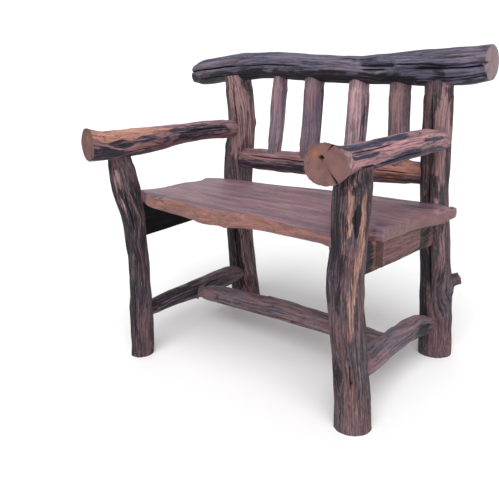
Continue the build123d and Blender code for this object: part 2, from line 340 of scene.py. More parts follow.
@dataclass(frozen=True)
class LogFinish:
    """Peeled or fibrous log wood: two families of streaks, dark patches of real colour and of
    painted shade, clefts with painted shade in them, and sawn ends.
    """

    cool_dark: Colour
    cool_light: Colour
    warm_dark: Colour
    warm_light: Colour
    # dark patch colour: real dark marks, and painted shade on sides and undersides that face away
    # from the light
    stain_and_shade_colour: Colour = (0.035, 0.030, 0.052)
    bare: Colour = (0.40, 0.20, 0.15)
    # near black: the fine fissures' colour, and the painted shade in clefts, grooves, valleys, end
    # checks and hollow knots
    cleft: Colour = (0.010, 0.008, 0.009)
    sawn_light: Colour = (0.30, 0.185, 0.165)
    sawn_dark: Colour = (0.17, 0.095, 0.080)
    heart: Colour = (0.36, 0.17, 0.09)
    warmth: float = 0.5  # how much of the surface the warm family takes
    streak: float = 5.0  # width of a streak in millimetres
    pale: Colour = (0.42, 0.36, 0.37)
    lichen: float = 0.25  # how much the pale flecks show
    sheen: float = 0.32
    fissures: float = 0.45  # how much the fine dark cracks show
    roughness: float = 0.68
    bump: float = 0.7
    ring_gap: float = 2.6  # growth rings are this far apart, in millimetres

    def streaks(self, tree: ShaderTree, grain: Value) -> tuple[Value, Value]:
        """Return broad and fine streaks along the grain, each between 0 and 1.

        Args:
            tree: the material's nodes.
            grain: the place in the grain.

        Returns:
            The broad and the fine streaks.
        """
        inputs = {"Vector": tree.scaled(grain, (30.0, 30.0, 9.0)), "Scale": 1.0, "Detail": 2.0}
        sway = tree.node("ShaderNodeTexNoise", {}, inputs, 1)
        bent = tree.moved(grain, tree.scaled(tree.moved(sway, (-0.5,) * 3), (0.009, 0.009, 0.0)))
        across = 1.0 / (self.streak * MM)
        broad = tree.noise(tree.scaled(bent, (across, across, across * 0.028)), 5.0, 0.62)
        fine_across = across * 5.0
        fine = tree.noise(tree.scaled(bent, (fine_across, fine_across, across * 0.16)), 4.0, 0.68)
        return broad, fine

    def side(self, tree: ShaderTree, grain: Value, broad: Value, fine: Value) -> Value:
        """Return the colour of the log's round side, before its dark patches, partly painted shade,
        and the painted shade in its clefts.

        Args:
            tree: the material's nodes.
            grain: the place in the grain.
            broad, fine: the two families of streaks.

        Returns:
            The colour.
        """
        area = tree.noise(tree.scaled(grain, (17.0, 17.0, 6.0)), 4.0, 0.6)
        tone = tree.spread(broad * 0.40 + fine * 0.38 + area * 0.22, 0.40, 0.61)
        cool = tree.ramp(tone, [(0.0, self.cool_dark), (1.0, self.cool_light)])
        warm = tree.ramp(tone, [(0.0, self.warm_dark), (1.0, self.warm_light)])
        patch = tree.noise(tree.scaled(grain, (34.0, 34.0, 8.0)), 4.0, 0.62)
        edge = 0.62 - 0.26 * self.warmth
        family = tree.spread(patch * 0.72 + broad * 0.28, edge - 0.06, edge + 0.06)
        wood = tree.blend(family, cool, warm)
        fleck = tree.noise(tree.scaled(grain, (330.0, 330.0, 62.0)), 4.0, 0.7)
        wood = tree.blend(tree.spread(fleck, 0.54, 0.70) * self.lichen, wood, self.pale)
        fissure = tree.noise(tree.scaled(grain, (300.0, 300.0, 26.0)), 3.0, 0.6)
        return tree.blend(tree.spread(fissure, 0.44, 0.34) * self.fissures, wood, self.cleft)

    def sawn(self, tree: ShaderTree, grain: Value, fine: Value) -> tuple[Value, Value]:
        """Return the colour of a sawn end and its growth rings as a height.

        Args:
            tree: the material's nodes.
            grain: the place in the grain.
            fine: the fine streaks.

        Returns:
            The colour and the rings.
        """
        flat = tree.scaled(grain, (1.0, 1.0, 0.0))
        wobble = tree.noise(tree.scaled(flat, (55.0, 55.0, 1.0)), 2.0)
        radius = tree.length(flat) + wobble * 0.006
        rings = (radius * (2.0 * math.pi / (self.ring_gap * MM))).sine() * 0.5 + 0.5
        blotch = tree.spread(tree.noise(tree.scaled(flat, (42.0, 42.0, 1.0)), 3.0), 0.36, 0.66)
        wood = tree.blend(rings * 0.45 + blotch * 0.5, self.sawn_light, self.sawn_dark)
        core = 1.0 - tree.spread(radius, 0.008, 0.028)
        wood = tree.blend(core * blotch, wood, self.heart)
        speck = tree.blend(tree.spread(fine, 0.30, 0.50), (0.55, 0.52, 0.52), (1.0, 1.0, 1.0))
        return tree.blend(0.6, wood, speck, "MULTIPLY"), rings

    def build(self, name: str) -> bpy.types.Material:
        """Make the material.

        Args:
            name: the material's name.

        Returns:
            The material, which reads the mesh attributes grain, marks and sawn.
        """
        tree = ShaderTree(name)
        grain = tree.attribute("grain", "Vector")
        marks = tree.attribute("marks", "Vector")
        end = tree.attribute("sawn", "Fac")
        split = tree.node("ShaderNodeSeparateXYZ", {}, {0: marks}, "X")
        parts = split.socket.node.outputs
        hollow, stain_and_shade_mask, bared = (Value(tree, parts[axis]) for axis in "XYZ")
        broad, fine = self.streaks(tree, grain)
        wood = self.side(tree, grain, broad, fine)
        thread = tree.spread(broad * 0.45 + fine * 0.55, 0.34, 0.66)
        shade = tree.ramp(thread, [(0.0, (0.35, 0.33, 0.34)), (1.0, (1.45, 1.45, 1.45))])
        bare = tree.blend(1.0, self.bare, shade, "MULTIPLY")
        stain_and_shade_colour = tree.blend(1.0, self.stain_and_shade_colour, shade, "MULTIPLY")
        ragged = (broad - 0.5) * 3.0 + (fine - 0.5) * 1.6
        wood = tree.blend(tree.spread(bared + ragged * bared, 0.26, 0.90), wood, bare)
        # dark patches: real dark marks, and painted shade on sides and undersides away from the
        # light
        wood = tree.blend(tree.spread(stain_and_shade_mask - ragged * stain_and_shade_mask, 0.24, 0.80), wood, stain_and_shade_colour)
        sawn, rings = self.sawn(tree, grain, fine)
        wood = tree.blend(end, wood, sawn)
        # painted shade in clefts, grooves, valleys, end checks and hollow knots, with raised knots'
        # own darker colour
        wood = tree.blend(hollow, wood, self.cleft)
        height = (broad * 0.5 + fine * 0.7) * (1.0 - end * 0.8) + rings * end * 0.25
        rough = self.roughness + (fine - 0.5) * 0.3 + hollow * 0.15
        tree.surface(
            Base_Color=wood,
            Roughness=rough.clamped(),
            Normal=tree.bump(height, 0.9 * MM, self.bump),
        )
        tree.surface(Specular_IOR_Level=self.sheen)
        return tree.material


@dataclass(frozen=True)
class SteelFinish:
    """Dulled zinc plate, with crystals and a little rust."""

    bright: Colour = (0.46, 0.47, 0.48)
    dull: Colour = (0.24, 0.25, 0.26)
    rust: Colour = (0.16, 0.06, 0.025)

    def build(self, name: str) -> bpy.types.Material:
        """Make the material, which reads the piece's own coordinates.

        Args:
            name: the material's name.

        Returns:
            The material.
        """
        tree = ShaderTree(name)
        place = tree.node("ShaderNodeTexCoord", {}, {}, "Object")
        crystals = tree.noise(tree.scaled(place, (900.0, 900.0, 900.0)), 3.0)
        spots = tree.spread(tree.noise(tree.scaled(place, (260.0, 260.0, 260.0)), 4.0), 0.58, 0.70)
        plate = tree.blend(crystals, self.dull, self.bright)
        tree.surface(
            Base_Color=tree.blend(spots, plate, self.rust),
            Metallic=1.0 - spots,
            Roughness=0.32 + crystals * 0.2 + spots * 0.4,
            Normal=tree.bump(crystals, 0.05 * MM, 0.4),
        )
        return tree.material


PEELED = LogFinish(
    cool_dark=(0.052, 0.040, 0.066),
    cool_light=(0.26, 0.195, 0.29),
    warm_dark=(0.125, 0.060, 0.066),
    warm_light=(0.40, 0.225, 0.235),
    bare=(0.40, 0.20, 0.175),
    sawn_light=(0.20, 0.098, 0.090),
    sawn_dark=(0.090, 0.042, 0.040),
    heart=(0.27, 0.11, 0.060),
    warmth=0.7,
)
WEATHERED = LogFinish(
    cool_dark=(0.022, 0.020, 0.034),
    cool_light=(0.165, 0.150, 0.225),
    warm_dark=(0.042, 0.030, 0.040),
    warm_light=(0.190, 0.145, 0.185),
    stain_and_shade_colour=(0.018, 0.017, 0.023),
    bare=(0.22, 0.15, 0.17),
    sawn_light=(0.31, 0.225, 0.235),
    sawn_dark=(0.19, 0.125, 0.135),
    heart=(0.24, 0.155, 0.150),
    warmth=0.3,
    streak=6.0,
    lichen=0.12,
)
FIBROUS = LogFinish(
    cool_dark=(0.011, 0.009, 0.012),
    cool_light=(0.115, 0.090, 0.108),
    warm_dark=(0.030, 0.016, 0.018),
    warm_light=(0.180, 0.098, 0.108),
    stain_and_shade_colour=(0.017, 0.014, 0.020),
    bare=(0.285, 0.170, 0.175),
    sawn_light=(0.20, 0.12, 0.11),
    sawn_dark=(0.10, 0.055, 0.05),
    warmth=0.5,
    streak=4.0,
    roughness=0.78,
    bump=1.0,
    lichen=0.3,
)
SPINDLE = replace(
    PEELED,
    cool_dark=(0.085, 0.066, 0.090),
    cool_light=(0.28, 0.215, 0.29),
    warm_dark=(0.145, 0.080, 0.090),
    warm_light=(0.38, 0.245, 0.275),
    warmth=0.55,
)
STRETCHER = replace(
    PEELED,
    cool_dark=(0.040, 0.034, 0.050),
    cool_light=(0.20, 0.165, 0.215),
    warm_dark=(0.085, 0.048, 0.055),
    warm_light=(0.28, 0.175, 0.195),
    stain_and_shade_colour=(0.020, 0.018, 0.026),
    warmth=0.5,
)
SLAB = LogFinish(
    cool_dark=(0.098, 0.058, 0.082),
    cool_light=(0.245, 0.155, 0.205),
    warm_dark=(0.145, 0.070, 0.082),
    warm_light=(0.310, 0.178, 0.200),
    stain_and_shade_colour=(0.085, 0.062, 0.090),
    bare=(0.215, 0.100, 0.083),
    pale=(0.40, 0.29, 0.33),
    warmth=0.55,
    streak=9.0,
    fissures=0.2,
    roughness=0.5,
    bump=0.4,
    sawn_light=(0.22, 0.115, 0.115),
    sawn_dark=(0.125, 0.062, 0.062),
)
TIMBER = LogFinish(
    cool_dark=(0.055, 0.030, 0.034),
    cool_light=(0.155, 0.090, 0.098),
    warm_dark=(0.105, 0.050, 0.048),
    warm_light=(0.225, 0.120, 0.118),
    stain_and_shade_colour=(0.018, 0.014, 0.015),
    sawn_light=(0.16, 0.085, 0.08),
    sawn_dark=(0.07, 0.035, 0.035),
    warmth=0.8,
    streak=6.0,
    fissures=0.12,
    roughness=0.72,
    bump=0.35,
    lichen=0.1,
)
PEG_WOOD = replace(
    PEELED, warm_dark=(0.16, 0.085, 0.055), warm_light=(0.36, 0.22, 0.15), warmth=1.0
)


# ---- meshes ----


class MeshPart:
    """Points, faces and point values that are gathered and then made into one mesh."""

    def __init__(self) -> None:
        """Start with nothing."""
        self.points: list[np.ndarray] = []
        self.quads: list[np.ndarray] = []
        self.triangles: list[np.ndarray] = []
        self.quad_maps: list[np.ndarray] = []
        self.triangle_maps: list[np.ndarray] = []
        self.values: dict[str, list[np.ndarray]] = {"grain": [], "marks": [], "sawn": []}
        self.count = 0

    def add(
        self,
        points: np.ndarray,
        quads: np.ndarray,
        triangles: np.ndarray,
        maps: tuple[np.ndarray, np.ndarray],
        values: dict[str, np.ndarray],
    ) -> None:
        """Add one closed form.

        Args:
            points: its points in millimetres in the drawing, one row each.
            quads, triangles: rows of point numbers.
            maps: the place on the colour map of each corner of the quads and triangles.
            values: the grain, marks and sawn values of each point.
        """
        self.points.append(points)
        self.quads.append(quads + self.count)
        self.triangles.append(triangles + self.count)
        self.quad_maps.append(maps[0])
        self.triangle_maps.append(maps[1])
        for key, rows in self.values.items():
            rows.append(values[key])
        self.count += len(points)

    def add_tube(
        self,
        rings: np.ndarray,
        caps: tuple[int, int],
        grain: np.ndarray,
        marks: np.ndarray,
        sawn: np.ndarray,
    ) -> None:
        """Add a closed form made of rings.

        Args:
            rings: its points in millimetres, one row for each ring.
            caps: how many rings at each end belong to its cap.
            grain, marks, sawn: the values of each point, laid out as the rings are.
        """
        values = {"grain": with_poles(grain), "marks": with_poles(marks)}
        values["sawn"] = with_poles(sawn[:, :, None])[:, 0]
        self.add(*tube(rings, caps), values)

    def finish(self, name: str, sharp_degrees: float) -> bpy.types.Object:
        """Make the object.

        Args:
            name: the piece's name.
            sharp_degrees: edges that turn more than this are drawn sharp.

        Returns:
            The object, at the origin, linked into the scene.
        """
        points = (np.concatenate(self.points) + SHIFT) * MM
        quads = np.concatenate(self.quads)
        triangles = np.concatenate(self.triangles)
        corners = np.concatenate([quads.ravel(), triangles.ravel()]).astype(np.int32)
        starts = np.concatenate(
            [np.arange(len(quads)) * 4, len(quads) * 4 + np.arange(len(triangles)) * 3]
        )
        mesh = bpy.data.meshes.new(name)
        mesh.vertices.add(len(points))
        mesh.vertices.foreach_set("co", points.ravel().astype(np.float32))
        mesh.loops.add(len(corners))
        mesh.loops.foreach_set("vertex_index", corners)
        mesh.polygons.add(len(starts))
        mesh.polygons.foreach_set("loop_start", starts.astype(np.int32))
        mesh.update(calc_edges=True)
        for key, rows in self.values.items():
            given = np.concatenate(rows).astype(np.float32)
            if key == "sawn":
                layer = mesh.attributes.new(key, "FLOAT", "POINT")
                layer.data.foreach_set("value", given.ravel())
            else:
                layer = mesh.attributes.new(key, "FLOAT_VECTOR", "POINT")
                layer.data.foreach_set("vector", given.ravel())
        places = [np.concatenate(self.quad_maps).reshape(-1, 2)]
        places.append(np.concatenate(self.triangle_maps).reshape(-1, 2))
        colour_map = mesh.uv_layers.new(name="OFBake")
        colour_map.uv.foreach_set("vector", np.concatenate(places).ravel().astype(np.float32))
        mesh.validate()
        mesh.shade_smooth()
        mesh.set_sharp_from_angle(angle=math.radians(sharp_degrees))
        made = bpy.data.objects.new(name, mesh)
        bpy.context.scene.collection.objects.link(made)
        return made


def dressed(part: MeshPart, maker: "Piece", sharp: float = 50.0) -> bpy.types.Object:
    """Make the object of a piece, and give it its material and its place in the frame.

    Args:
        part: the piece's points and faces.
        maker: the piece's own class, with its name, slot and finish.
        sharp: edges that turn more than this many degrees are drawn sharp.

    Returns:
        The object, which stands for the node of the same name.
    """
    made = part.finish(maker.name, sharp)
    made.data.materials.append(maker.finish.build(maker.name + "_wood"))
    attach(made, "root")
    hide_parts(maker.name)
    REPORT.info("%s: %d faces", made.name, len(made.data.polygons))
    return made


# ---- centre lines ----


class CentreLine:
    """The bent centre line of a log, with a radius all along it."""

    def __init__(self, stations: Sequence[Station]) -> None:
        """Measure the line through (x, y, z, radius) stations.

        Args:
            stations: places of the line, each with the radius there.
        """
        self.table = np.array(stations, dtype=float)
        gaps = np.linalg.norm(np.diff(self.table[:, :3], axis=0), axis=1)
        self.places = np.concatenate([[0.0], np.cumsum(gaps)])
        self.length = float(self.places[-1])

    def at(self, along: np.ndarray) -> tuple[np.ndarray, np.ndarray, np.ndarray]:
        """Return the line at distances along it.

        Args:
            along: distances from the first station.

        Returns:
            The points, the radii and the unit directions of the line.
        """
        knots = self.places
        slopes = np.gradient(self.table, knots, axis=0)
        index = np.clip(np.searchsorted(knots, along, side="right") - 1, 0, len(knots) - 2)
        span = (knots[index + 1] - knots[index])[:, None]
        t = ((along - knots[index]) / span[:, 0])[:, None]
        low, high = self.table[index], self.table[index + 1]
        slope_low, slope_high = slopes[index] * span, slopes[index + 1] * span
        found = (
            (2 * t**3 - 3 * t**2 + 1) * low
            + (t**3 - 2 * t**2 + t) * slope_low
            + (3 * t**2 - 2 * t**3) * high
            + (t**3 - t**2) * slope_high
        )
        speed = (
            (6 * t**2 - 6 * t) * (low - high)
            + (3 * t**2 - 4 * t + 1) * slope_low
            + (3 * t**2 - 2 * t) * slope_high
        )
        return found[:, :3], found[:, 3], unit(speed[:, :3])

    def axes(self, ways: np.ndarray) -> tuple[np.ndarray, np.ndarray]:
        """Return the directions of 0 and 90 degrees round the log at each ring.

        Args:
            ways: the line's direction at each ring.

        Returns:
            The two directions, one row for each ring.
        """
        run = np.abs(self.table[-1, :3] - self.table[0, :3])
        upright = run[2] > run[0] + run[1]
        reference = np.array([1.0, 0.0, 0.0] if upright else [0.0, 0.0, 1.0])
        across = unit(reference - ways * (ways @ reference)[:, None])
        return across, np.cross(ways, across)

    def nearest(self, points: np.ndarray) -> tuple[np.ndarray, np.ndarray, np.ndarray]:
        """Find the nearest place on the line to each point.

        Args:
            points: one row each.

        Returns:
            How far each point stands off the log's round surface, the way out of the
            log at it, and the distance along the line.
        """
        along = np.linspace(0.0, self.length, max(8, int(self.length / 4.0)))
        centres, radii, _ = self.at(along)
        best = np.empty(len(points), dtype=int)
        for start in range(0, len(points), 4000):
            part = points[start : start + 4000]
            off = np.linalg.norm(part[:, None, :] - centres[None, :, :], axis=2)
            best[start : start + 4000] = off.argmin(axis=1)
        out = points - centres[best]
        far = np.linalg.norm(out, axis=1)
        return far - radii[best], out / np.maximum(far, 1e-6)[:, None], along[best]

    def crossing(self, points: np.ndarray, bite: float) -> np.ndarray:
        """Return the row at which each column of points dips under the log's surface.

        Args:
            points: rows of points that run towards the log.
            bite: how deep under the surface the crossing is.

        Returns:
            A row number with its fraction for each column; the last row if none dips.
        """
        rows, columns = points.shape[:2]
        off = self.nearest(points.reshape(-1, 3))[0].reshape(rows, columns) + bite
        inside = off < 0.0
        first = np.where(inside.any(axis=0), inside.argmax(axis=0), rows - 1)
        before = np.clip(first - 1, 0, rows - 1)
        column = np.arange(columns)
        high, low = off[before, column], off[first, column]
        share = np.clip(high / np.maximum(high - low, 1e-6), 0.0, 1.0)
        return before + np.where(inside.any(axis=0), share, 1.0)


# ---- logs ----


class EndKind(Enum):
    """How a log ends."""

    SAWN = "sawn"  # a flat sawn face that shows
    TENON = "tenon"  # a shoulder inside the log that it meets, and a round tenon
    ROUNDED = "rounded"  # worn round


@dataclass(frozen=True)
class End:
    """One end of a log."""

    kind: EndKind = EndKind.TENON
    facing: Colour | None = None  # the way that a sawn face looks; straight along if None
    host: str = ""  # the log that a tenon enters, and its shoulder is scribed to
    tenon: tuple[float, float] = (15.0, 35.0)  # radius and length
    pith: tuple[float, float] = (0.0, 0.0)  # where the heart lies, across and to the side
    pith_hole: float = 0.0  # radius of a decayed heart
    checks: tuple[tuple[float, float, float], ...] = ()  # angle, width at the rim, reach
    shoulder: float = 0.06  # share of the radius that is whittled off at a shoulder
    ease: float = 22.0  # over this length
    rounding: float = 24.0
    blunt: float = 0.35  # how much of the radius a rounded end keeps at its tip
    dome: float = 1.1  # how far the middle of a sawn face stands out


@dataclass(frozen=True)
class Cleft:
    """A drying crack along the grain."""

    start: float
    stop: float
    angle: float
    width: float = 2.5
    depth: float = 6.0
    wander: float = 6.0  # degrees
    drift: float = 0.0  # degrees that it turns from its start to its stop
    open_start: bool = False  # runs out at the log's first end at full depth
    open_stop: bool = False


@dataclass(frozen=True)
class Valley:
    """A broad, soft furrow between two lobes of a log."""

    start: float
    stop: float
    angle: float
    half_angle: float
    depth: float
    # painted shade on the furrow's floor
    dark: float = 0.5


@dataclass(frozen=True)
class Knot:
    """A knot, bump or hollow: its place, its radius, and its height or depth."""

    along: float
    angle: float
    radius: float
    height: float
    # darkness: painted shade in a hollow knot, and the knot's own darker colour in a raised one
    dark: float = 0.8


@dataclass(frozen=True)
class Patch:
    """A patch of colour: where it is centred, its half length, half angle and strength."""

    along: float
    angle: float
    half_length: float
    half_angle: float
    strength: float = 1.0


@dataclass
class Log:
    """One log of the bench."""

    name: str
    slot: str
    finish: LogFinish
    seed: int
    stations: Sequence[Station] = ()  # those under its name in STATIONS if none are given
    first: End = End()
    last: End = End()
    lobes: float = 0.03  # share of the radius
    lumps: float = 2.2
    nubs: float = 0.9
    grooves: float = 1.2
    groove_gap: float = 9.0
    fibre: float = 0.35
    spiral: float = 0.0  # degrees of turn of the grain for each metre
    clefts: Sequence[Cleft] = ()
    valleys: Sequence[Valley] = ()
    knots: Sequence[Knot] = ()
    # patches of real dark colour, and of painted shade on sides and undersides away from the light
    stains_and_shade: Sequence[Patch] = ()
    bared: Sequence[Patch] = ()
    ring_step: float = 2.6
    round_step: float = 1.35
    pegs: Sequence[Colour] = ()  # mouths of the peg holes in it
    wells: Sequence[Colour] = ()  # bottoms of the coach screws' wells in its back
    branches: Sequence["Log"] = ()  # stubs of side branches
    lapped: str = ""  # a log that it is hollowed out to lie against
    fade: float = 90.0  # length over which the log leans to a skew end

    def __post_init__(self) -> None:
        """Measure the log's centre line and seed its noise."""
        self.line = CentreLine(self.stations or STATIONS[self.name])
        self.length = self.line.length
        self.noise = Noise(self.seed)

    def grain_turn(self, along: np.ndarray, angle: np.ndarray, radius: np.ndarray) -> np.ndarray:
        """Return the angle that the grain has at each point, bent round the knots.

        Args:
            along: distances along the log.
            angle: angles round the log.
            radius: radius of the log at each ring.

        Returns:
            The angles in the grain.
        """
        noise = self.noise
        x, y = np.cos(angle) * 1.3, np.sin(angle) * 1.3
        turned = angle + 0.09 * noise.at(x + 3.1, y + 5.7, along / 95.0)
        turned = turned + math.radians(self.spiral) * along / 1000.0
        for knot in self.knots:
            turn = turn_between(angle, math.radians(knot.angle))
            reach = np.hypot(along - knot.along, radius * turn) / knot.radius
            turned = turned - turn * 0.55 * np.exp(-(reach**2) / 3.0)
        return turned

    def patches(self, given: Sequence[Patch], along: np.ndarray, angle: np.ndarray) -> np.ndarray:
        """Return how strongly each point lies in any of the patches.

        Args:
            given: the patches.
            along: distances along the log.
            angle: angles round the log.

        Returns:
            The strengths, 0 to 1.
        """
        total = np.zeros(np.broadcast(along, angle).shape)
        x, y = np.cos(angle) * 2.4, np.sin(angle) * 2.4
        ragged = self.noise.layered(x + 11.0, y + 2.0, along / 42.0, 3) * 0.42
        for patch in given:
            far = (along - patch.along) / patch.half_length
            turn = turn_between(angle, math.radians(patch.angle)) / math.radians(patch.half_angle)
            reach = np.hypot(far, turn) + ragged
            total = np.maximum(total, patch.strength * (1.0 - smooth_step(0.7, 1.15, reach)))
        return total

    def cleft_depths(
        self, along: np.ndarray, angle: np.ndarray, radius: np.ndarray
    ) -> tuple[np.ndarray, np.ndarray]:
        """Return the depth of the drying cracks and the painted shade in them, at each point.

        Args:
            along: distances along the log.
            angle: angles round the log.
            radius: radius of the log at each ring.

        Returns:
            The depths and the darkness, 0 to 1.
        """
        depth = np.zeros(np.broadcast(along, angle).shape)
        dark = np.zeros_like(depth)
        for number, cleft in enumerate(self.clefts):
            share = (along - cleft.start) / (cleft.stop - cleft.start)
            rise = 1.0 if cleft.open_start else smooth_step(0.0, 0.22, share)
            fall = 1.0 if cleft.open_stop else 1.0 - smooth_step(0.78, 1.0, share)
            inside = (share >= 0.0) & (share <= 1.0)
            wave = self.noise.at(along / 60.0 + 9.0 * number, np.array(number * 1.7), np.array(0.5))
            lean = cleft.angle + cleft.drift * np.clip(share, 0.0, 1.0) + cleft.wander * wave
            middle = np.radians(lean)
            off = np.abs(turn_between(angle, middle)) * radius
            width = cleft.width * (0.6 + 0.4 * rise * fall)
            slot = np.clip(1.0 - off / width, 0.0, 1.0) * rise * fall * inside
            lip = 0.10 * np.exp(-(((off - 1.7 * width) / width) ** 2)) * rise * fall * inside
            depth = np.maximum(depth, cleft.depth * slot) - cleft.depth * lip
            dark = np.maximum(dark, smooth_step(0.12, 0.75, slot))
        return depth, dark

    def relief(
        self, along: np.ndarray, angle: np.ndarray, radius: np.ndarray
    ) -> tuple[np.ndarray, np.ndarray, np.ndarray]:
        """Work out the log's surface.

        Args:
            along: distance along the log, one row for each ring.
            angle: angle round the log, one column for each point of a ring.
            radius: the plain radius of each ring.

        Returns:
            The height over the plain radius, the grain coordinates and the marks.
        """
        noise = self.noise
        turned = self.grain_turn(along, angle, radius)
        x, y = radius * np.cos(turned), radius * np.sin(turned)
        broad = noise.layered(x / 58.0, y / 58.0, along / 120.0 + 4.0, 2) * self.lumps
        shape = np.zeros_like(broad)
        for waves, share in ((2, 0.5), (3, 0.35), (5, 0.2)):
            drift = 2.4 * noise.at(np.array(0.4 * waves), np.array(0.7), along / 260.0)
            shape = shape + share * np.cos(waves * angle + drift + self.seed)
        gap = self.groove_gap
        ridge = noise.layered(x / gap, y / gap, along / (13.0 * gap), 2)
        groove = np.clip(1.0 - np.abs(ridge) / 0.32, 0.0, 1.0) ** 1.6
        finer = noise.at(x / (gap * 0.42) + 5.0, y / (gap * 0.42), along / (6.0 * gap))
        thread = noise.at(x / 2.6, y / 2.6, along / 30.0)
        strength = 0.55 + 0.45 * noise.at(x / 30.0 + 8.0, y / 30.0, along / 90.0)
        height = broad + shape * self.lobes * radius
        height = height + self.nubs * noise.at(x / 21.0 + 3.0, y / 21.0, along / 38.0)
        height = height - groove * self.grooves * strength + finer * self.grooves * 0.35
        height = height + thread * self.fibre
        depth, dark = self.cleft_depths(along, angle, radius)
        height = height - depth
        # darkness in clefts and grooves, and below in valleys and knots: painted shade, with the
        # knots' own colour
        hollow = np.maximum(dark, 0.55 * groove * strength * min(1.0, self.grooves / 2.0))
        for valley in self.valleys:
            share = (along - valley.start) / (valley.stop - valley.start)
            sway = math.radians(7.0) * noise.at(along / 80.0, np.array(2.2), np.array(valley.angle))
            turn = turn_between(angle, math.radians(valley.angle) + sway)
            part = np.clip(1.0 - np.abs(turn) / math.radians(valley.half_angle), 0.0, 1.0)
            part = part * smooth_step(0.0, 0.15, share) * (1.0 - smooth_step(0.85, 1.0, share))
            height = height - valley.depth * part**1.3
            hollow = np.maximum(hollow, valley.dark * smooth_step(0.55, 1.0, part))
        for knot in self.knots:
            turn = turn_between(angle, math.radians(knot.angle))
            reach = np.hypot(along - knot.along, radius * turn) / knot.radius
            height = height + knot.height * np.exp(-(reach**2) * 1.3)
            height = height + abs(knot.height) * 0.12 * np.cos(reach * 9.0) * np.exp(-(reach**2))
            hollow = np.maximum(hollow, knot.dark * np.exp(-((reach * 1.5) ** 2)))
        for mouth in self.pegs:
            _, out, place = self.line.nearest(np.array([mouth]))
            across, side = self.line.axes(self.line.at(place)[2])
            at = math.atan2(float(out[0] @ side[0]), float(out[0] @ across[0]))
            reach = np.hypot(along - place[0], radius * turn_between(angle, at))
            height = height * smooth_step(7.0, 22.0, reach)
        # dark patches: real dark colour, and painted shade where shade falls
        stain_and_shade_mask = self.patches(self.stains_and_shade, along, angle)
        bared = self.patches(self.bared, along, angle)
        grain = np.stack(np.broadcast_arrays(x, y, along), axis=-1) * MM
        marks = np.stack([np.clip(hollow, 0.0, 1.0), stain_and_shade_mask, bared], axis=-1)
        return height, grain, marks

    def rows(self) -> np.ndarray:
        """Return the distances of the log's rings, closer together at its ends.

        Returns:
            The distances from the first end.
        """
        count = max(12, int(self.length / self.ring_step))
        even = np.linspace(0.0, self.length, count)
        near = np.array([0.6, 1.6, 3.2])
        return np.unique(np.concatenate([even, near, self.length - near]))

    def leant(
        self, points: np.ndarray, ways: np.ndarray, along: np.ndarray, end: End, at_last: bool
    ) -> np.ndarray:
        """Lean the rings near an end so that the last one lies in its cut.

        Args:
            points: the rings.
            ways: the direction of the line at each.
            along: the distance along it of each.
            end: how the log ends there.
            at_last: whether this is the far end.

        Returns:
            The rings, leant to a flat saw cut or scribed to the host log.
        """
        row = -1 if at_last else 0
        if end.kind is EndKind.SAWN:
            facing = np.array(end.facing) if end.facing else ways[row] * (1 if at_last else -1)
            off = (points[row] - self.line.table[row, :3]) @ facing
            slide = -off / float(ways[row] @ facing)
        elif end.host:
            order = points if at_last else points[::-1]
            places = along if at_last else along[::-1]
            crossing = HOSTS[end.host].crossing(order, SCRIBE_BITE)
            slide = np.interp(crossing, np.arange(len(places)), places) - along[row]
        else:
            return points
        distance = (self.length - along) if at_last else along
        share = 1.0 - smooth_step(0.0, self.fade, distance)
        return points + share[:, None, None] * slide[None, :, None] * ways[:, None, :]

    def cap(
        self, ring: np.ndarray, grain: np.ndarray, end: End, at_last: bool, angle: np.ndarray
    ) -> tuple[list, list, list, list]:
        """Build the rings that close one end.

        Args:
            ring: the points of the outermost ring.
            grain: their grain coordinates.
            end: how the log ends.
            at_last: whether this is the far end.
            angle: the angles of the ring's points.

        Returns:
            Lists of rings of points, grain, marks and sawn values, from the rim inward.
        """
        row = -1 if at_last else 0
        centre = ring.mean(axis=0)
        _, _, ways = self.line.at(np.array([0.0, self.length]))
        outward = ways[row] * (1.0 if at_last else -1.0)
        across, side = self.line.axes(ways)
        blank = np.zeros((len(angle), 3))
        rings, grains, marks, sawns = [], [], [], []
        if end.kind is EndKind.TENON:
            radius, length = end.tenon
            circle = np.cos(angle)[:, None] * across[row] + np.sin(angle)[:, None] * side[row]
            deep = [(0.0, radius * 1.02)] + [(length * s, radius) for s in (0.02, 0.5, 0.94)]
            deep.append((length, radius - 1.5))
            deep.append((length, radius * 0.5))
            for far, wide in deep:
                rings.append(centre + outward * far + circle * wide)
                grains.append(np.column_stack([np.cos(angle) * wide, np.sin(angle) * wide,
                                               np.full(len(angle), far)]) * MM)
                marks.append(blank)
                sawns.append(np.full(len(angle), 0.75))
            return rings, grains, marks, sawns
        pith = centre + across[row] * end.pith[0] + side[row] * end.pith[1]
        flat_pith = np.array([end.pith[0], end.pith[1], 0.0]) * MM
        heart = np.array([0.0, 0.0, grain[0, 2]])
        size = np.linalg.norm(ring - pith, axis=1)
        for share in np.concatenate([[0.985, 0.955], np.linspace(0.91, 0.05, 22)]):
            off = share * size
            pit = np.zeros(len(angle))
            dark = np.zeros(len(angle))
            for turn, width, reach in end.checks:
                gap = np.abs(turn_between(angle, math.radians(turn))) * off
                wide = width * np.clip((share - 1.0 + reach) / reach, 0.0, 1.0)
                slot = np.clip(1.0 - gap / np.maximum(wide, 0.05), 0.0, 1.0)
                pit = np.maximum(pit, slot * 9.0)
                dark = np.maximum(dark, smooth_step(0.05, 0.5, slot))
            if end.pith_hole:
                wobble = 1.0 + 0.35 * self.noise.at(np.cos(angle) * 2, np.sin(angle) * 2, off / 9)
                hole = 1.0 - smooth_step(0.55, 1.15, off / (end.pith_hole * wobble))
                pit, dark = np.maximum(pit, hole * 7.0), np.maximum(dark, hole)
            saw = self.noise.at(off * np.cos(angle) / 3.0, off * np.sin(angle) / 14.0, off / 50)
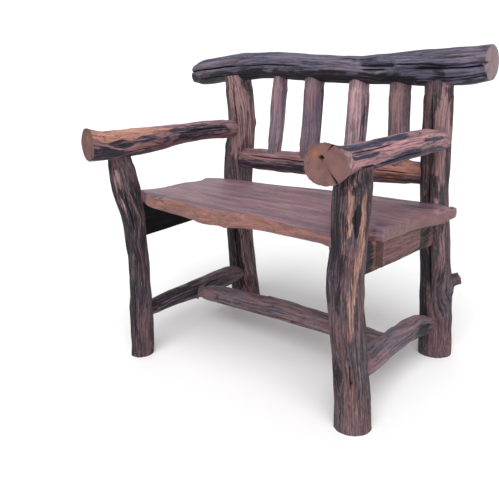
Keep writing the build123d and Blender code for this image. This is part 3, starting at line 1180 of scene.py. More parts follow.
            proud = 0.2 * saw - pit + end.dome * (1.0 - share) - 0.5
            point = pith + (ring - pith) * share + outward * proud[:, None]
            rings.append(point)
            grains.append(heart + (grain - heart) * share - flat_pith * (share < 1.0))
            # painted shade in the checks and in the pit of the decayed heart
            marks.append(np.column_stack([dark, blank[:, 0], blank[:, 0]]))
            sawns.append(np.full(len(angle), 1.0))
        return rings, grains, marks, sawns

    def shape_into(self, part: MeshPart) -> None:
        """Shape the log and its branches, and add them to a mesh.

        Args:
            part: the mesh that takes them.
        """
        along = self.rows()
        widest = float(self.line.table[:, 3].max())
        count = int(round(2.0 * math.pi * widest / self.round_step))
        angle = np.arange(count) * 2.0 * math.pi / count
        centres, radii, ways = self.line.at(along)
        for at_last, end in ((False, self.first), (True, self.last)):
            if end.kind is EndKind.ROUNDED:
                distance = (self.length - along) if at_last else along
                share = np.clip(distance / end.rounding, 0.0, 1.0)
                arch = np.sqrt(1.0 - (1.0 - share) ** 2)
                radii = radii * (end.blunt + (1.0 - end.blunt) * arch)
            elif end.kind is EndKind.TENON:
                distance = (self.length - along) if at_last else along
                inset = HOSTS[end.host].table[:, 3].mean() if end.host else 0.0
                share = np.clip(1.0 - (distance - 0.8 * inset) / end.ease, 0.0, 1.0)
                radii = radii * (1.0 - end.shoulder * share**2)
        across, side = self.line.axes(ways)
        height, grain, marks = self.relief(along[:, None], angle[None, :], radii[:, None])
        reach = radii[:, None] + height
        spoke = (
            np.cos(angle)[None, :, None] * across[:, None, :]
            + np.sin(angle)[None, :, None] * side[:, None, :]
        )
        points = centres[:, None, :] + reach[:, :, None] * spoke
        for at_last, end in ((False, self.first), (True, self.last)):
            points = self.leant(points, ways, along, end, at_last)
        if self.lapped:
            points = clear_of(points, HOSTS[self.lapped], -SCRIBE_BITE)
        points = sunk(points, self.wells, [0, 2], 1.0)
        sawn = np.zeros(points.shape[:2])
        head = self.cap(points[0], grain[0], self.first, False, angle)
        tail = self.cap(points[-1], grain[-1], self.last, True, angle)
        rings = np.concatenate([head[0][::-1], points, tail[0]])
        grains = np.concatenate([head[1][::-1], grain, tail[1]])
        markings = np.concatenate([head[2][::-1], marks, tail[2]])
        sawns = np.concatenate([head[3][::-1], sawn, tail[3]])
        part.add_tube(rings, (len(head[0]), len(tail[0])), grains, markings, sawns)
        for branch in self.branches:
            branch.shape_into(part)

    def build(self) -> bpy.types.Object:
        """Build the log, dress it and return it.

        Returns:
            The log's object.
        """
        part = MeshPart()
        self.shape_into(part)
        return dressed(part, self)


def clear_of(points: np.ndarray, line: CentreLine, gap: float) -> np.ndarray:
    """Return the points, with those nearer to a log than the gap moved straight out of it.

    Args:
        points: the points.
        line: the log's centre line.
        gap: the least distance.

    Returns:
        The moved points.
    """
    flat = points.reshape(-1, 3)
    off, out, _ = line.nearest(flat)
    push = np.maximum(gap - off, 0.0)
    return (flat + out * push[:, None]).reshape(points.shape)


def sunk(
    rings: np.ndarray, seats: Sequence[Colour], across: list[int], side: float
) -> np.ndarray:
    """Sink the round wells of coach screws into rings of points.

    Args:
        rings: the points.
        seats: the middle of each well's bottom.
        across: the two axes that lie across the wells.
        side: 1 if they open towards the third axis's higher side, -1 if its lower.

    Returns:
        The rings, with the points over each well moved down to its bottom.
    """
    moved = rings.copy()
    deep = 3 - sum(across)
    for seat in np.array(seats, dtype=float).reshape(-1, 3):
        out = moved[..., across] - seat[across]
        far = np.linalg.norm(out, axis=-1)
        inside = (far < WELL_RADIUS + 1.5) & ((moved[..., deep] - seat[deep]) * side > 0.0)
        snapped = np.where(far < WELL_RADIUS, np.minimum(far, WELL_RADIUS - 0.2), WELL_RADIUS)
        scale = np.where(inside, snapped / np.maximum(far, 1e-6), 1.0)
        moved[..., across] = seat[across] + out * scale[..., None]
        bottom = inside & (far < WELL_RADIUS)
        moved[..., deep] = np.where(bottom, seat[deep], moved[..., deep])
    return moved


def with_poles(rings: np.ndarray) -> np.ndarray:
    """Return the rings' rows as one list, followed by the means of the two end rings."""
    flat = rings.reshape(-1, rings.shape[-1])
    return np.concatenate([flat, rings[0].mean(0)[None], rings[-1].mean(0)[None]])


def tube(
    rings: np.ndarray, caps: tuple[int, int]
) -> tuple[np.ndarray, np.ndarray, np.ndarray, tuple[np.ndarray, np.ndarray]]:
    """Join rings of points into a closed form.

    Args:
        rings: the points, one row for each ring, from the first end to the last.
        caps: how many rings at each end belong to its cap.

    Returns:
        The points with the two poles last, the quads, the triangles, and their places
        on the colour map: the side on the left of it and the two caps on the right.
    """
    rows, count = rings.shape[:2]
    row, column = np.meshgrid(np.arange(rows - 1), np.arange(count), indexing="ij")
    after = (column + 1) % count
    low, high = row * count, (row + 1) * count
    quads = np.stack([low + column, low + after, high + after, high + column], -1).reshape(-1, 4)
    ring = np.arange(count)
    onward = (ring + 1) % count
    first, last = rows * count, rows * count + 1
    end = (rows - 1) * count
    triangles = np.concatenate([
        np.stack([np.full(count, first), onward, ring], -1),
        np.stack([np.full(count, last), end + ring, end + onward], -1),
    ])
    gaps = np.linalg.norm(np.diff(rings.mean(axis=1), axis=0), axis=1)
    head, tail = caps
    body = np.concatenate([[0.0], np.cumsum(gaps[head : rows - 1 - tail])])
    height = np.full(rows, 0.0)
    height[head : rows - tail] = MAP_EDGE + MAP_SPAN * body / body[-1]

    def place(at_row: np.ndarray, at_column: np.ndarray) -> tuple[np.ndarray, ...]:
        """Return a corner's place on the side's map and on the maps of the two caps.

        Args:
            at_row: rings.
            at_column: places round them.

        Returns:
            The three places on the map.
        """
        turn = at_column / count
        side = np.stack([MAP_EDGE + SIDE_MAP_WIDTH * turn, height[at_row]], -1)
        from_head, from_tail = (at_row + 1) / (head + 1), (rows - at_row) / (tail + 1)
        spoke = np.stack([np.cos(turn * 2 * math.pi), np.sin(turn * 2 * math.pi)], -1)
        at_head = np.array(HEAD_MAP) + CAP_MAP_RADIUS * from_head[..., None] * spoke
        at_tail = np.array(TAIL_MAP) + CAP_MAP_RADIUS * from_tail[..., None] * spoke
        return side, at_head, at_tail

    corners = [(row, column), (row, column + 1), (row + 1, column + 1), (row + 1, column)]
    in_head = (row < head)[..., None]
    in_tail = (row >= rows - 1 - tail)[..., None]
    quad_map = []
    for at_row, at_column in corners:
        side, at_head, at_tail = place(at_row, at_column)
        quad_map.append(np.where(in_head, at_head, np.where(in_tail, at_tail, side)))
    quad_map = np.stack(quad_map, -2).reshape(-1, 4, 2)
    fan = []
    for middle, row_number, order in ((HEAD_MAP, 0, 1), (TAIL_MAP, rows - 1, -1)):
        turns = [ring + 1, ring] if order == 1 else [ring, ring + 1]
        at_row = np.full(count, row_number)
        edge = [place(at_row, turn)[1 if row_number == 0 else 2] for turn in turns]
        fan.append(np.stack([np.broadcast_to(middle, (count, 2)), *edge], -2))
    points = with_poles(rings)
    return points, quads, triangles, (quad_map, np.concatenate(fan))


# ---- slab seat ----


@dataclass(frozen=True)
class Stroke:
    """A patch or a crack on the slab: its middle, its half length and half width."""

    x: float
    y: float
    half_length: float
    half_width: float
    strength: float = 1.0

    def measured(self, x: np.ndarray, y: np.ndarray) -> tuple[np.ndarray, np.ndarray]:
        """Return how far each point is along it and across it, in half sizes."""
        return (x - self.x) / self.half_length, (y - self.y) / self.half_width


def along_curve(points: Sequence[tuple[float, float]], count: int) -> np.ndarray:
    """Return evenly spaced points on a smooth curve through the given ones.

    Args:
        points: the points that the curve passes through.
        count: how many points are returned, the two ends among them.

    Returns:
        The points, one row each.
    """
    given = np.array([(x, y, 0.0, 1.0) for x, y in points])
    curve = CentreLine(given)
    fine, _, _ = curve.at(np.linspace(0.0, curve.length, 1200))
    run = np.concatenate([[0.0], np.cumsum(np.linalg.norm(np.diff(fine, axis=0), axis=1))])
    even = np.linspace(0.0, run[-1], count)
    return np.column_stack([np.interp(even, run, fine[:, axis]) for axis in (0, 1)])


@dataclass
class Slab:
    """The slab seat: a plank with bark-worn edges, skew under its top, notched for a leg."""

    name: str
    slot: str
    finish: LogFinish
    front: Sequence[tuple[float, float]]
    right: Sequence[tuple[float, float]]
    back: Sequence[tuple[float, float]]
    left: Sequence[tuple[float, float]]
    front_depth: Sequence[tuple[float, float]]  # thickness of the front edge at each x
    seed: int = 31
    step: float = 3.0
    wall_rows: int = 15
    edge_round: float = 5.0
    stains_and_shade: Sequence[Stroke] = ()
    bared: Sequence[Stroke] = ()
    cracks: Sequence[Stroke] = ()
    knots: Sequence[Stroke] = ()
    clear: Sequence[str] = (
        "front_leg_left", "front_leg_right", "back_post_left", "back_post_right"
    )

    def __post_init__(self) -> None:
        """Seed the slab's noise."""
        self.noise = Noise(self.seed)

    @staticmethod
    def between(corners: Corners, x: np.ndarray, y: np.ndarray) -> np.ndarray:
        """Return the value at each place, from the values at the slab's four corners.

        Args:
            corners: front and back values, left and right.
            x: distance along the bench of each point.
            y: depth of each point.

        Returns:
            The value at each.
        """
        across = (x - SLAB_X[0]) / (SLAB_X[1] - SLAB_X[0])
        deep = (y - SLAB_Y[0]) / (SLAB_Y[1] - SLAB_Y[0])
        left, right = (front + (back - front) * deep for front, back in corners)
        return left + (right - left) * across

    @staticmethod
    def top_height(x: np.ndarray, y: np.ndarray) -> np.ndarray:
        """Return the height of the slab's plain top."""
        return Slab.between(SLAB_TOP, x, y)

    @staticmethod
    def plain_depth(x: np.ndarray, y: np.ndarray) -> np.ndarray:
        """Return the slab's thickness where it is sawn flat beneath."""
        return Slab.between(SLAB_DEPTH, x, y)

    def depth(self, x: np.ndarray, y: np.ndarray) -> np.ndarray:
        """Return the thickness, with the uneven front edge.

        Args:
            x: distance along the bench of each point.
            y: depth of each point.

        Returns:
            The thickness at each.
        """
        places, depths = np.array(self.front_depth).T
        edge = np.interp(x, places, depths)
        share = 1.0 - smooth_step(-35.0, 45.0, y)
        ear = smooth_step(412.0, 438.0, x) * smooth_step(275.0, 330.0, y)
        return self.plain_depth(x, y) * (1.0 - share) + edge * share - EAR_THINNING * ear

    def sides(self) -> tuple[np.ndarray, np.ndarray, np.ndarray, np.ndarray]:
        """Return the four edges as rows of points: front and back along +X, ends along +Y.

        Returns:
            The front, right, back and left edges.
        """
        wide = int(640.0 / self.step)
        deep = int(490.0 / self.step)
        front = along_curve(self.front, wide)
        back = along_curve(self.back, wide)
        right = along_curve(self.right, deep)
        left = along_curve(self.left, deep)
        ragged = 1.3 * self.noise.layered(front[:, 0] / 26.0, np.zeros(wide), np.zeros(wide), 3)
        ease = smooth_step(0.0, 8.0, np.minimum(np.arange(wide), np.arange(wide)[::-1]))
        front[:, 1] += ragged * ease
        rough = 1.5 * self.noise.layered(right[:, 1] / 18.0, np.full(deep, 5.0), np.zeros(deep), 3)
        ease = smooth_step(0.0, 8.0, np.minimum(np.arange(deep), np.arange(deep)[::-1]))
        right[:, 0] += rough * ease
        left[:, 0] += np.roll(rough, 9) * ease
        return front, right, back, left

    @staticmethod
    def patch(
        front: np.ndarray, right: np.ndarray, back: np.ndarray, left: np.ndarray
    ) -> np.ndarray:
        """Fill four edges with a smooth net of points.

        Args:
            front, right, back, left: the edges, whose corners meet.

        Returns:
            The points, with rows from front to back.
        """
        u = np.linspace(0.0, 1.0, len(front))[None, :, None]
        v = np.linspace(0.0, 1.0, len(left))[:, None, None]
        ruled = (1 - v) * front[None] + v * back[None]
        across = (1 - u) * left[:, None] + u * right[:, None]
        corners = (
            (1 - u) * (1 - v) * front[0] + u * (1 - v) * front[-1]
            + (1 - u) * v * back[0] + u * v * back[-1]
        )
        return ruled + across - corners

    def strokes(self, given: Sequence[Stroke], x: np.ndarray, y: np.ndarray) -> np.ndarray:
        """Return how strongly each point lies in any of the strokes.

        Args:
            given: the strokes.
            x: distance along the bench of each point.
            y: depth of each point.

        Returns:
            The strengths, 0 to 1.
        """
        total = np.zeros(x.shape)
        ragged = 0.45 * self.noise.layered(x / 60.0, y / 14.0, np.full(x.shape, 3.0), 3)
        for stroke in given:
            reach = np.hypot(*stroke.measured(x, y)) + ragged
            total = np.maximum(total, stroke.strength * (1.0 - smooth_step(0.65, 1.2, reach)))
        return total

    def crack_depth(self, x: np.ndarray, y: np.ndarray) -> tuple[np.ndarray, np.ndarray]:
        """Return the depth of the cracks and the painted shade in them.

        Args:
            x: distance along the bench of each point.
            y: depth of each point.

        Returns:
            The depths and the darkness, 0 to 1.
        """
        depth = np.zeros(x.shape)
        dark = np.zeros(x.shape)
        for stroke in self.cracks:
            wave = 2.5 * self.noise.at(x / 25.0, np.full(x.shape, stroke.y), np.zeros(x.shape))
            run, side = stroke.measured(x, y + wave)
            side = np.abs(side)
            slot = np.clip(1.0 - side, 0.0, 1.0) * (1.0 - smooth_step(0.75, 1.0, np.abs(run)))
            depth = np.maximum(depth, slot * 4.0 * stroke.strength)
            dark = np.maximum(dark, smooth_step(0.1, 0.8, slot) * stroke.strength)
        return depth, dark

    def relief(self, x: np.ndarray, y: np.ndarray) -> tuple[np.ndarray, np.ndarray]:
        """Return the height of the top over the plain one, and the painted shade in its hollows.

        Args:
            x: distance along the bench of each point.
            y: depth of each point.

        Returns:
            The heights and the darkness, 0 to 1.
        """
        noise = self.noise
        bend = y + 5.0 * noise.at(x / 150.0, y / 90.0, np.zeros(x.shape))
        height = 1.4 * noise.layered(x / 190.0, y / 75.0, np.ones(x.shape), 2)
        ridge = noise.layered(x / 130.0, bend / 8.0, np.full(x.shape, 2.0), 2)
        groove = np.clip(1.0 - np.abs(ridge) / 0.25, 0.0, 1.0) ** 1.5
        height = height - 0.45 * groove
        height = height + 0.22 * noise.at(x / 55.0, bend / 3.3, np.full(x.shape, 4.0))
        ear = smooth_step(385.0, 405.0, x) * smooth_step(290.0, 330.0, y)
        height = height + 5.0 * ear * noise.layered(x / 17.0, y / 24.0, np.full(x.shape, 8.0), 2)
        depth, dark = self.crack_depth(x, y)
        for knot in self.knots:
            reach = np.hypot(*knot.measured(x, y))
            height = height + 1.2 * np.exp(-(reach**2)) * np.cos(reach * 6.0)
            dark = np.maximum(dark, knot.strength * np.exp(-((reach * 1.6) ** 2)))
        # darkness in cracks, grooves and knots: painted shade, with the knots' own darker colour
        return height - depth, np.maximum(dark, 0.28 * groove)

    def build(self) -> bpy.types.Object:
        """Build the slab, dress it and return it.

        Returns:
            The slab's object.
        """
        front, right, back, left = self.sides()
        rim = np.concatenate([front[:-1], right[:-1], back[::-1][:-1], left[::-1][:-1]])
        ahead = np.roll(rim, -1, axis=0) - np.roll(rim, 1, axis=0)
        out = unit(np.column_stack([ahead[:, 1], -ahead[:, 0]]))
        for _ in range(6):
            out = unit(np.roll(out, 1, axis=0) + out + np.roll(out, -1, axis=0))
        inner = rim - out * self.edge_round
        marks = np.cumsum([0, len(front) - 1, len(right) - 1, len(back) - 1])
        loop = np.concatenate([inner, inner[:1]])
        edges = [loop[marks[0] : marks[1] + 1], loop[marks[1] : marks[2] + 1]]
        edges += [loop[marks[2] : marks[3] + 1][::-1], loop[marks[3] :][::-1]]
        net = self.patch(*edges)
        rows, columns = net.shape[:2]
        x, y = net[..., 0], net[..., 1]
        height, dark = self.relief(x, y)
        top = np.stack([x, y, self.top_height(x, y) + height], -1)
        saw = 0.35 * self.noise.at(x / 3.0, y / 60.0, np.full(x.shape, 6.0))
        low = np.stack([x, y, self.top_height(x, y) - self.depth(x, y) + saw], -1)
        walls, wall_side = self.walls(top, low, out, (rows, columns))
        points = np.concatenate([top.reshape(-1, 3), low.reshape(-1, 3), walls.reshape(-1, 3)])
        for name in self.clear:
            points = clear_of(points, HOSTS[name], 1.0)
        part = MeshPart()
        quads, maps = self.net_faces(rows, columns, walls.shape[0])
        part.add(
            points,
            quads,
            np.empty((0, 3), dtype=int),
            (maps, np.empty((0, 3, 2))),
            self.values(points, dark, top.shape[0] * top.shape[1], walls.shape[0], wall_side),
        )
        return dressed(part, self, 60.0)

    def values(
        self, points: np.ndarray, dark: np.ndarray, net: int, wall_rows: int, wall_side: np.ndarray
    ) -> dict[str, np.ndarray]:
        """Return the grain, marks and sawn values of the slab's points.

        Args:
            points: the slab's points.
            dark: darkness of the top's net.
            net: points in one net.
            wall_rows: rows of the walls.
            wall_side: 1 for each column of the walls at a sawn end.

        Returns:
            The values by name.
        """
        x, y, z = points.T
        grain = np.column_stack([y - SLAB_HEART[0], z - SLAB_HEART[1], x]) * MM
        hollow = np.zeros(len(points))
        hollow[:net] = dark.ravel()
        stain_and_shade_mask = self.strokes(self.stains_and_shade, x, y)
        bared = self.strokes(self.bared, x, y)
        ends = np.zeros(len(points))
        edge = np.zeros(len(points))
        ends[2 * net :] = np.tile(wall_side, wall_rows)
        edge[2 * net :] = np.tile(1.0 - wall_side, wall_rows)
        bared = np.maximum(bared, 0.95 * edge * (y < FRONT_EDGE_Y))
        marks = np.column_stack([hollow, stain_and_shade_mask, bared])
        return {"grain": grain, "marks": marks, "sawn": ends * 0.8}

    def walls(
        self, top: np.ndarray, low: np.ndarray, out: np.ndarray, size: tuple[int, int]
    ) -> tuple[np.ndarray, np.ndarray]:
        """Build the rows of points between the rims of the top and the underside.

        Args:
            top, low: the nets of the top and of the underside.
            out: the way out of the slab at each point of the rim.
            size: the rows and columns of the nets.

        Returns:
            The rows of points from the top down, and 1 for each column at a sawn end.
        """
        loop = rim_numbers(*size)
        high, deep = top.reshape(-1, 3)[loop], low.reshape(-1, 3)[loop]
        count = len(loop)
        turn = np.linspace(math.pi / 2.0, -math.pi / 2.0, self.wall_rows + 2)[1:-1]
        ends = (np.abs(out[:, 0]) > 0.7).astype(float)
        rows = []
        for angle in turn:
            bulge = math.cos(angle) ** 0.55 * self.edge_round
            share = (1.0 - math.sin(angle)) / 2.0
            x, y, _ = (high * (1 - share) + deep * share).T
            fibre = 0.9 * self.noise.layered(x / 45.0, y / 45.0, np.full(count, share * 6.0), 2)
            chips = 0.5 * self.noise.at(x / 4.0, y / 4.0, np.full(count, share * 9.0)) * ends
            off = (bulge + (fibre + chips) * math.cos(angle))[:, None] * out
            z = high[:, 2] * (1 - share) + deep[:, 2] * share
            rows.append(np.column_stack([high[:, :2] + off, z]))
        return np.array(rows), ends

    @staticmethod
    def net_faces(rows: int, columns: int, wall_rows: int) -> tuple[np.ndarray, np.ndarray]:
        """Number the quads of the top, the underside and the walls, with their map places.

        Args:
            rows, columns: size of the nets.
            wall_rows: rows of the walls.

        Returns:
            The quads and their places on the map.
        """
        row, column = np.meshgrid(np.arange(rows - 1), np.arange(columns - 1), indexing="ij")
        corner = row * columns + column
        upper = np.stack([corner, corner + 1, corner + columns + 1, corner + columns], -1)
        upper = upper.reshape(-1, 4)
        net = rows * columns
        lower = upper[:, ::-1] + net
        u = MAP_EDGE + MAP_SPAN * np.stack([column, column + 1, column + 1, column], -1) / columns
        v = MAP_EDGE + NET_MAP_HEIGHT * np.stack([row, row, row + 1, row + 1], -1) / rows
        top_map = np.stack([u, v], -1).reshape(-1, 4, 2)
        low_map = top_map[:, ::-1] + np.array([0.0, UNDERSIDE_MAP_V])
        loop = rim_numbers(rows, columns)
        count = len(loop)
        rings = [loop] + [2 * net + step * count + np.arange(count) for step in range(wall_rows)]
        rings.append(loop + net)
        quads, maps = [upper, lower], [top_map, low_map]
        place = np.arange(count)
        for step in range(len(rings) - 1):
            above, below = rings[step], rings[step + 1]
            face = [above, below, np.roll(below, -1), np.roll(above, -1)]
            quads.append(np.stack(face, -1))
            share = np.stack([place, place, place + 1, place + 1], -1) / count
            across = MAP_EDGE + MAP_SPAN * share
            down = np.array([step, step + 1, step + 1, step]) / len(rings)
            height = WALL_MAP_V + WALL_MAP_HEIGHT * down
            maps.append(np.stack([across, np.broadcast_to(height, across.shape)], -1))
        return np.concatenate(quads), np.concatenate(maps)


def rim_numbers(rows: int, columns: int) -> np.ndarray:
    """Return the numbers of a net's rim points, front, right, back and left in turn."""
    net = np.arange(rows * columns).reshape(rows, columns)
    return np.concatenate([net[0, :-1], net[:-1, -1], net[-1, ::-1][:-1], net[::-1, 0][:-1]])


# ---- bearers ----


@dataclass(frozen=True)
class Section:
    """A squared timber's section at one end: its y, its inner and outer x, its bottom z."""

    y: float
    inner: float
    outer: float
    bottom: float


@dataclass
class Bearer:
    """A sawn timber under the slab, in one or two boards."""

    name: str
    slot: str
    finish: LogFinish
    boards: Sequence[tuple[Section, Section]]
    hosts: tuple[str, str]
    wells: Sequence[Colour]
    seed: int
    ring_step: float = 3.0
    round_step: float = 1.6
    # dark strokes: painted shade where the bearer stands in shadow
    stains_and_shade: Sequence[Stroke] = ()

    def __post_init__(self) -> None:
        """Seed the bearer's noise."""
        self.noise = Noise(self.seed)

    def board(self, ends: tuple[Section, Section], scribed: bool) -> tuple:
        """Build the rings of one board and their values.

        Args:
            ends: its front and back sections.
            scribed: whether its ends run on to the legs.

        Returns:
            The rings with their grain, marks and sawn values.
        """
        first, last = ends
        count = max(8, int((last.y - first.y) / self.ring_step))
        share = np.linspace(0.0, 1.0, count)
        y = first.y + (last.y - first.y) * share
        inner = first.inner + (last.inner - first.inner) * share
        outer = first.outer + (last.outer - first.outer) * share
        bottom = first.bottom + (last.bottom - first.bottom) * share
        middle = (inner + outer) / 2.0
        top = Slab.top_height(middle, y) - Slab.plain_depth(middle, y)
        wide, tall = np.abs(outer - inner), top - bottom
        around = int(2 * (wide.mean() + tall.mean()) / self.round_step)
        turn = np.arange(around) * 2.0 * math.pi / around
        flat_x, flat_z = np.sin(turn), np.cos(turn)
        size = (np.abs(flat_x) ** 12 + np.abs(flat_z) ** 12) ** (-1.0 / 12.0)
        flat_x, flat_z = flat_x * size, flat_z * size
        x = middle[:, None] + flat_x[None, :] * wide[:, None] / 2.0
        z = (top + bottom)[:, None] / 2.0 + flat_z[None, :] * tall[:, None] / 2.0
        y = np.broadcast_to(y[:, None], x.shape)
        side = np.abs(flat_x)[None, :] > 0.93
        wave = self.noise.layered(y / 110.0, z / 40.0, x / 40.0, 2)
        thread = self.noise.at(y / 60.0, z / 3.0, x / 3.0)
        saw = self.noise.at(y / 2.2 + z / 9.0, z / 60.0, x / 60.0)
        under = (flat_z < 0.95)[None, :]
        lift = (0.9 * wave + 0.45 * thread + 0.25 * saw) * under
        x = x + np.sign(flat_x)[None, :] * lift * side
        z = z - lift * (flat_z < -0.9)[None, :]
        rings = np.stack([x, y, z], -1)
        if scribed:
            for name, at_last in zip(self.hosts, (False, True)):
                rings = self.scribe(rings, HOSTS[name], at_last)
        rings = sunk(rings, self.wells, [0, 1], -1.0)
        grain = np.stack([x - BEARER_HEART[0], z - BEARER_HEART[1], y], -1) * MM
        # painted shade in the low places of the sawn faces
        hollow = 0.5 * smooth_step(0.25, 0.7, -thread - 0.3 * wave)
        # painted shade from the dark strokes
        stain_and_shade_mask = np.zeros(x.shape)
        for stroke in self.stains_and_shade:
            reach = np.hypot(*stroke.measured(y, z))
            stain_and_shade_mask = np.maximum(stain_and_shade_mask, stroke.strength * (1 - smooth_step(0.6, 1.2, reach)))
        marks = np.stack([hollow, stain_and_shade_mask, np.zeros(x.shape)], -1)
        return rings, grain, marks, np.zeros(x.shape)

    def scribe(self, rings: np.ndarray, host: CentreLine, at_last: bool) -> np.ndarray:
        """Slide the rings near one end on to the leg that it stands against.

        Args:
            rings: the bearer's rings.
            host: the leg's centre line.
            at_last: whether it is the last end.

        Returns:
            The moved rings.
        """
        order = rings if at_last else rings[::-1]
        crossing = host.crossing(order, SCRIBE_BITE)
        reach = order[:, 0, 1]
        slide = np.interp(crossing, np.arange(len(reach)), reach) - reach[-1]
        distance = np.abs(rings[:, 0, 1] - reach[-1])
        share = 1.0 - smooth_step(0.0, 90.0, distance)
        moved = rings.copy()
        moved[..., 1] += share[:, None] * slide[None, :]
        return moved

    def build(self) -> bpy.types.Object:
        """Build the bearer, dress it and return it.

        Returns:
            The bearer's object.
        """
        part = MeshPart()
        for number, ends in enumerate(self.boards):
            rings, grain, marks, sawn = self.board(ends, number == 0)
            extra = []
            for row, shares in ((0, (0.96, 0.8, 0.5, 0.2)), (-1, (0.96, 0.8, 0.5, 0.2))):
                centre = rings[row].mean(axis=0)
                extra.append([centre + (rings[row] - centre) * share for share in shares])
            rings = np.concatenate([extra[0][::-1], rings, extra[1]])
            capped = [np.concatenate([[v[0]] * 4, v, [v[-1]] * 4]) for v in (grain, marks)]
            ends_sawn = np.ones((4, sawn.shape[1]))
            sawn = np.concatenate([ends_sawn, sawn, ends_sawn])
            part.add_tube(rings, (4, 4), *capped, sawn)
        return dressed(part, self, 40.0)


# ---- pegs ----


@dataclass
class PegGroup:
    """The pegs of one node: whittled, slightly proud, with a faint chamfer."""

    name: str
    slot: str
    finish: LogFinish
    pegs: Sequence[tuple[Colour, Colour]]  # mouth of the hole and its blind end
    seed: int
    radius: float = 5.0
    proud: float = 2.6
    sides: int = 48
    facet: float = 0.035  # how far the six whittled faces leave the round, as a share

    def build(self) -> bpy.types.Object:
        """Build the group's pegs as one mesh of closed forms, dress it and return it.

        Returns:
            The group's object.
        """
        noise = Noise(self.seed)
        part = MeshPart()
        angle = np.arange(self.sides) * 2.0 * math.pi / self.sides
        for number, (mouth, blind) in enumerate(self.pegs):
            mouth, blind = np.array(mouth), np.array(blind)
            way = unit(blind - mouth)
            across = unit(np.cross(way, np.array([0.31, 0.22, 0.92])))
            side = np.cross(way, across)
            length = float(np.linalg.norm(blind - mouth))
            along = np.concatenate([
                [-self.proud, -self.proud, -self.proud + 0.2, -self.proud + 0.9],
                np.linspace(-self.proud + 2.5, length - 1.5, 24),
                [length, length],
            ])
            wide = np.full(len(along), self.radius)
            wide[:4] = self.radius * np.array([0.35, 0.75, 0.86, 0.97])
            wide[-2:] = self.radius * np.array([0.8, 0.3])
            facet = 1.0 + self.facet * np.cos(6.0 * angle + number)
            spoke_x, spoke_y = np.cos(angle)[None], np.sin(angle)[None]
            grit = 0.12 * noise.at(spoke_x * 3, spoke_y * 3, along[:, None] / 9)
            reach = wide[:, None] * facet[None, :] + grit
            x, y = reach * spoke_x, reach * spoke_y
            rings = mouth + along[:, None, None] * way + x[..., None] * across + y[..., None] * side
            places = np.broadcast_to(along[:, None], x.shape)
            grain = np.stack([x + 40.0 * number, y, places], -1) * MM
            sawn = np.zeros(x.shape)
            sawn[:3] = 0.8
            part.add_tube(rings, (2, 2), grain, np.zeros(grain.shape), sawn)
        return dressed(part, self, 45.0)


# ---- the bench's own sizes ----

SCRIBE_BITE = 2.5  # a shoulder is set this deep, to bed in the uneven log that it meets
WELL_RADIUS = 11.0
FRONT_EDGE_Y = 60.0  # the slab's edge in front of this is its waney one
# The slab's colour map: its top lies lowest, then its underside, then its walls.
NET_MAP_HEIGHT = 0.41
UNDERSIDE_MAP_V = 0.43
WALL_MAP_V = 0.88
WALL_MAP_HEIGHT = 0.11
# Where the heart of the tree lay, for the grain of the slab (Y, Z) and of a bearer (X, Z).
SLAB_HEART = (210.0, 330.0)
BEARER_HEART = (300.0, 330.0)
EAR_THINNING = 12.0  # the slab's right back corner thins by this much towards its tip
SLAB_X = (-460.0, 460.0)
SLAB_Y = (-70.0, 470.0)
SLAB_TOP = ((523.0, 452.0), (464.0, 454.0))
SLAB_DEPTH = ((38.0, 34.0), (30.0, 30.0))

